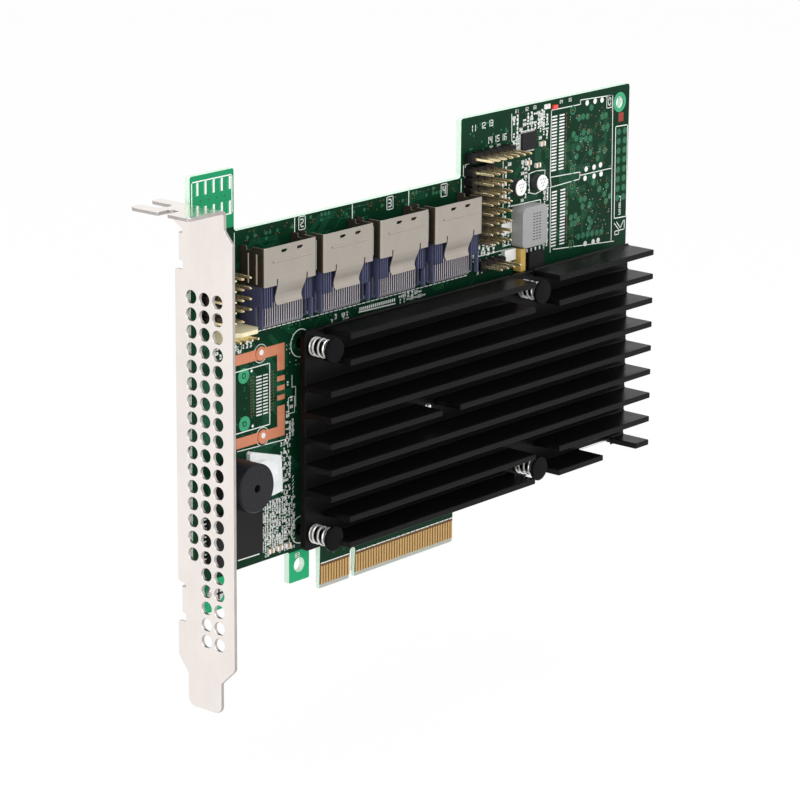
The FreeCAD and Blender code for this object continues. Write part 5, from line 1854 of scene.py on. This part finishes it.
def islands(node: str) -> list[tuple[Array, Array]]:
    """Box of every separate solid in a CAD node.

    Corners at the same place count as one. Each starts with its own label, and the labels at an
    edge's two ends both become the smaller one until nothing changes.

    Args:
        node: name of the node.

    Returns:
        (low, high) corners in millimetres.
    """
    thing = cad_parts[node]
    flat = np.empty(len(thing.data.vertices) * 3, np.float32)
    thing.data.vertices.foreach_get("co", flat)
    matrix = np.array(thing.matrix_world)
    points = (flat.reshape(-1, 3) @ matrix[:3, :3].T + matrix[:3, 3]) / MM
    places, same = np.unique(points.round(3), axis=0, return_inverse=True)
    ends = np.empty(len(thing.data.edges) * 2, np.int32)
    thing.data.edges.foreach_get("vertices", ends)
    pairs = same.ravel()[ends.reshape(-1, 2)]
    label = np.arange(len(places))
    while True:
        before = label.copy()
        least = label[pairs].min(axis=1)
        np.minimum.at(label, pairs[:, 0], least)
        np.minimum.at(label, pairs[:, 1], least)
        if np.array_equal(before, label):
            break
    groups = [places[label == one] for one in np.unique(label)]
    return [(group.min(0), group.max(0)) for group in groups]


@dataclass
class SmallParts:
    """Chip parts with metal ends, cans, inductor and leads."""

    board: Board

    def chips(self, node: str, look: Look) -> None:
        """Replace a CAD node of plain blocks by bodies with plated ends.

        Args:
            node: name of the node.
            look: finish of the bodies.
        """
        pile = Pile()
        for low, high in islands(node):
            size = high - low
            axis = 0 if size[0] > size[2] else 2
            cap = size[axis] * 0.24
            inset = np.full(3, 0.03)
            inset[axis] = cap
            pile.box(low + inset, high - inset)
            inner_low, inner_high = low.copy(), high.copy()
            inner_high[axis] = low[axis] + cap
            inner_low[axis] = high[axis] - cap
            pile.box(low, inner_high, 1)
            pile.box(inner_low, high, 1)
        make_piece(f"{node}_capped", pile, Dressing((look, Look.TIN), 0.05, 1, merge=False), node)

    def can(self, number: int) -> None:
        """Turn a capacitor: plinth, dark side and a crimped white lid with a printed sector.

        Args:
            number: which of the two.
        """
        low, high = node_box(f"capacitor_can_{number}")
        x, z = (low[0] + high[0]) / 2, (low[2] + high[2]) / 2
        radius = (high[0] - low[0]) / 2
        top, foot = low[1], high[1]
        pile = Pile()
        pile.lathe([(0, foot), (radius, foot), (radius, foot - 0.6), (radius * 0.93, foot - 0.9),
                    (radius * 0.93, foot - 1.2), (radius * 0.98, foot - 1.5),
                    (radius * 0.98, top + 0.35), (0, top + 0.35)], (x, z), 40, 1)
        pile.lathe([(0, top), (radius * 0.86, top), (radius * 0.95, top + 0.08),
                    (radius * 0.97, top + 0.35), (0, top + 0.4)], (x, z), 40)
        marks = np.array([(-0.9, 0.9), (0.0, 1.0), (0.9, 0.9), (-0.5, 0.1), (0.5, 0.1),
                          (0.0, -0.8)]) * radius * 0.45 + (x, z)
        pile.strokes(marks - (0.22, 0.18), marks + (0.22, 0.18), 0.2, top - 0.004, top + 0.1, 1)
        make_piece(f"can_{number}", pile, Dressing((Look.CAN, Look.SLEEVE)),
                   f"capacitor_can_{number}")

    def leads(self) -> None:
        """Plated leads at the sides of the packages."""
        pile = Pile()
        front = self.board.front
        for node, along, count, size, reach in (
                ("power_controller", 0, 10, 0.28, 0.6), ("power_controller", 2, 10, 0.28, 0.6),
                ("regulator_chip", 0, 4, 0.45, 0.9), ("flash_memory", 2, 12, 0.3, 0.7)):
            low, high = node_box(node)
            across = 2 - along
            spots = np.linspace(low[along] + size, high[along] - size, count)
            for edge, side in ((low[across], -1), (high[across], 1)):
                lows, highs = np.zeros((count, 3)), np.zeros((count, 3))
                lows[:, along], highs[:, along] = spots - size / 2, spots + size / 2
                inner, outer = edge - side * 0.1, edge + side * reach
                lows[:, across], highs[:, across] = min(inner, outer), max(inner, outer)
                lows[:, 1], highs[:, 1] = front - 0.22, front + 0.02
                pile.blocks(lows, highs)
        make_piece("package_leads", pile, Dressing((Look.TIN,), 0.04, 1, merge=False))

    def coil_marks(self) -> None:
        """Printed columns of short dark strokes on the inductor."""
        low, high = node_box("power_inductor")
        x, z = (low[0] + high[0]) / 2 + 0.6, (low[2] + high[2]) / 2
        rows = np.arange(-3.4, 3.5, 0.75)
        pile = Pile()
        for shift in (-1.0, 0.2, 1.4):
            spots = column(x + shift, z + rows)
            pile.strokes(spots - (0.3, 0.06), spots + (0.3, -0.06), 0.22, low[1] - 0.006,
                         low[1] + 0.1)
        make_piece("inductor_marks", pile, Dressing((Look.DARK,), merge=False))

    def build(self) -> None:
        """Make every small part."""
        for node, look in (("ceramic_capacitors", Look.TAN), ("resistors", Look.DARK),
                           ("back_capacitors", Look.TAN)):
            self.chips(node, look)
        for number in (1, 2):
            self.can(number)
        self.leads()
        self.coil_marks()


def dress_nodes() -> None:
    """Give every CAD node that stays its own finish."""
    looks = {
        Look.GOLD: "edge_contacts_front edge_contacts_back",
        Look.COPPER: "copper_frame",
        Look.CHIP: "roc_processor sas_expander power_controller regulator_chip flash_memory "
                   "cache_memory_1 cache_memory_2 cache_memory_3 cache_memory_4 cache_memory_5",
        Look.PAD: "roc_thermal_pad expander_thermal_pad",
        Look.INDUCTOR: "power_inductor", Look.TIN: "inductor_terminals crystal_can",
        Look.CAN: "capacitor_can_1 capacitor_can_2", Look.BUZZER: "buzzer",
        Look.SILICONE: "buzzer_adhesive", Look.CREAM: "battery_connector",
        Look.PIN_GOLD: "battery_connector_pins", Look.OCHRE: "tantalum_capacitor",
        Look.RED: "status_led", Look.TAN: "ceramic_capacitors back_capacitors",
        Look.DARK: "resistors"}
    for look, names in looks.items():
        for name in names.split():
            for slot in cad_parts[name].material_slots:
                slot.material = look.material


# ---- studio

@dataclass
class Studio:
    """Floor, light and camera."""

    azimuth: float = -49.378
    elevation: float = 15.457
    roll: float = 0.444
    position: tuple[float, float, float] = (-0.595388, -0.526737, 0.267119)
    lens: float = 150.286
    floor_gap: float = 0.03
    reach: float = 6.0
    ambient: float = 0.55
    whiteness: float = 0.95

    def build(self, low_z: float) -> None:
        """Set the stage.

        Args:
            low_z: lowest point of the card, in metres.
        """
        self.camera()
        self.world()
        self.floor(low_z - self.floor_gap)
        self.lamps()
        bpy.context.scene.view_settings.view_transform = "Standard"

    def camera(self) -> None:
        """Aim a long lens at the card."""
        data = bpy.data.cameras.new("camera")
        data.lens = self.lens
        data.sensor_width = 36.0
        data.clip_end = 20.0
        eye = put("camera", data)
        turn = (Matrix.Rotation(math.radians(self.azimuth), 4, "Z")
                @ Matrix.Rotation(math.radians(90.0 - self.elevation), 4, "X")
                @ Matrix.Rotation(math.radians(self.roll), 4, "Z"))
        eye.matrix_world = Matrix.Translation(self.position) @ turn
        bpy.context.scene.camera = eye

    def world(self) -> None:
        """White surroundings where the camera and reflections look, softer as light."""
        world = bpy.data.worlds.new("studio")
        bpy.context.scene.world = world
        graph = Graph(world, "Background")
        graph.set(Color=WHITE, Strength=graph.add(
            "ShaderNodeMapRange", {}, {"Value": graph.seen(), "To Min": self.ambient,
                                       "To Max": 1.0}))

    def floor(self, height: float) -> None:
        """Lay a wide pale floor that looks white and keeps a faint shadow of the card.

        Args:
            height: Z of the floor, in metres.
        """
        mesh = bpy.data.meshes.new("floor")
        corners = [(across * self.reach, deep * self.reach, height)
                   for across, deep in ((-1, -1), (1, -1), (1, 1), (-1, 1))]
        mesh.from_pydata(corners, [], [(0, 1, 2, 3)])
        graph = Graph(bpy.data.materials.new("pale_floor"))
        graph.set(Base_Color=(0.9, 0.9, 0.9, 1.0), Roughness=0.9)
        glow = graph.add("ShaderNodeEmission", {}, {"Color": WHITE})
        blend = graph.add("ShaderNodeMixShader", {}, {
            0: graph.seen() * self.whiteness, 1: Wave(graph, graph.shader.outputs[0]), 2: glow})
        graph.feed(graph.tree.nodes["Material Output"].inputs["Surface"], blend)
        mesh.materials.append(graph.owner)
        put("floor", mesh)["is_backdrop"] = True

    def lamps(self) -> None:
        """Large soft boxes: key from the left, fill from the right, strip above."""
        boxes = [((-1.3, -0.5, 0.55), 1.1, 13.0), ((0.35, -1.5, 0.5), 0.9, 8.0),
                 ((0.1, -0.2, 1.4), 0.8, 7.0), ((-0.7, 1.2, 1.2), 1.0, 5.0)]
        for number, (place, size, power) in enumerate(boxes):
            data = bpy.data.lights.new(f"soft_box_{number}", "AREA")
            data.shape = "SQUARE"
            data.size = size
            data.energy = power
            lamp = put(data.name, data)
            spot = Matrix.Translation(place)
            way = -spot.translation.normalized()
            lamp.matrix_world = spot @ way.to_track_quat("-Z", "Y").to_matrix().to_4x4()


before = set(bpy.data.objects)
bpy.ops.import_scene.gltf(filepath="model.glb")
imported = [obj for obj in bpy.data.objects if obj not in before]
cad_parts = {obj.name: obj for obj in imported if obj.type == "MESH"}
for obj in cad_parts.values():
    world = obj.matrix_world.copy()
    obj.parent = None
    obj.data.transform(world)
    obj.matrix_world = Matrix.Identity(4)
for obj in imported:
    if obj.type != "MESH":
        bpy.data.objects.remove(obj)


def main() -> None:
    """Build every sub-assembly in order."""
    logging.basicConfig(level=logging.INFO, format="%(message)s")
    card_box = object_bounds()
    dress_nodes()
    Board().build()
    Bracket().build()
    Heatsink().build()
    for number in range(1, 5):
        Socket(number).build()
    Header("left_header", 4, 5, ((3, 0),)).build()
    Header("main_header", 4, 8).build()
    Header("top_header", 7, 1).build()
    Header("fan_header", 4, 1).build()
    board = Board()
    Artwork(board).build()
    SmallParts(board).build()
    Studio().build(card_box[0][2])


if __name__ == "__main__":
    main()
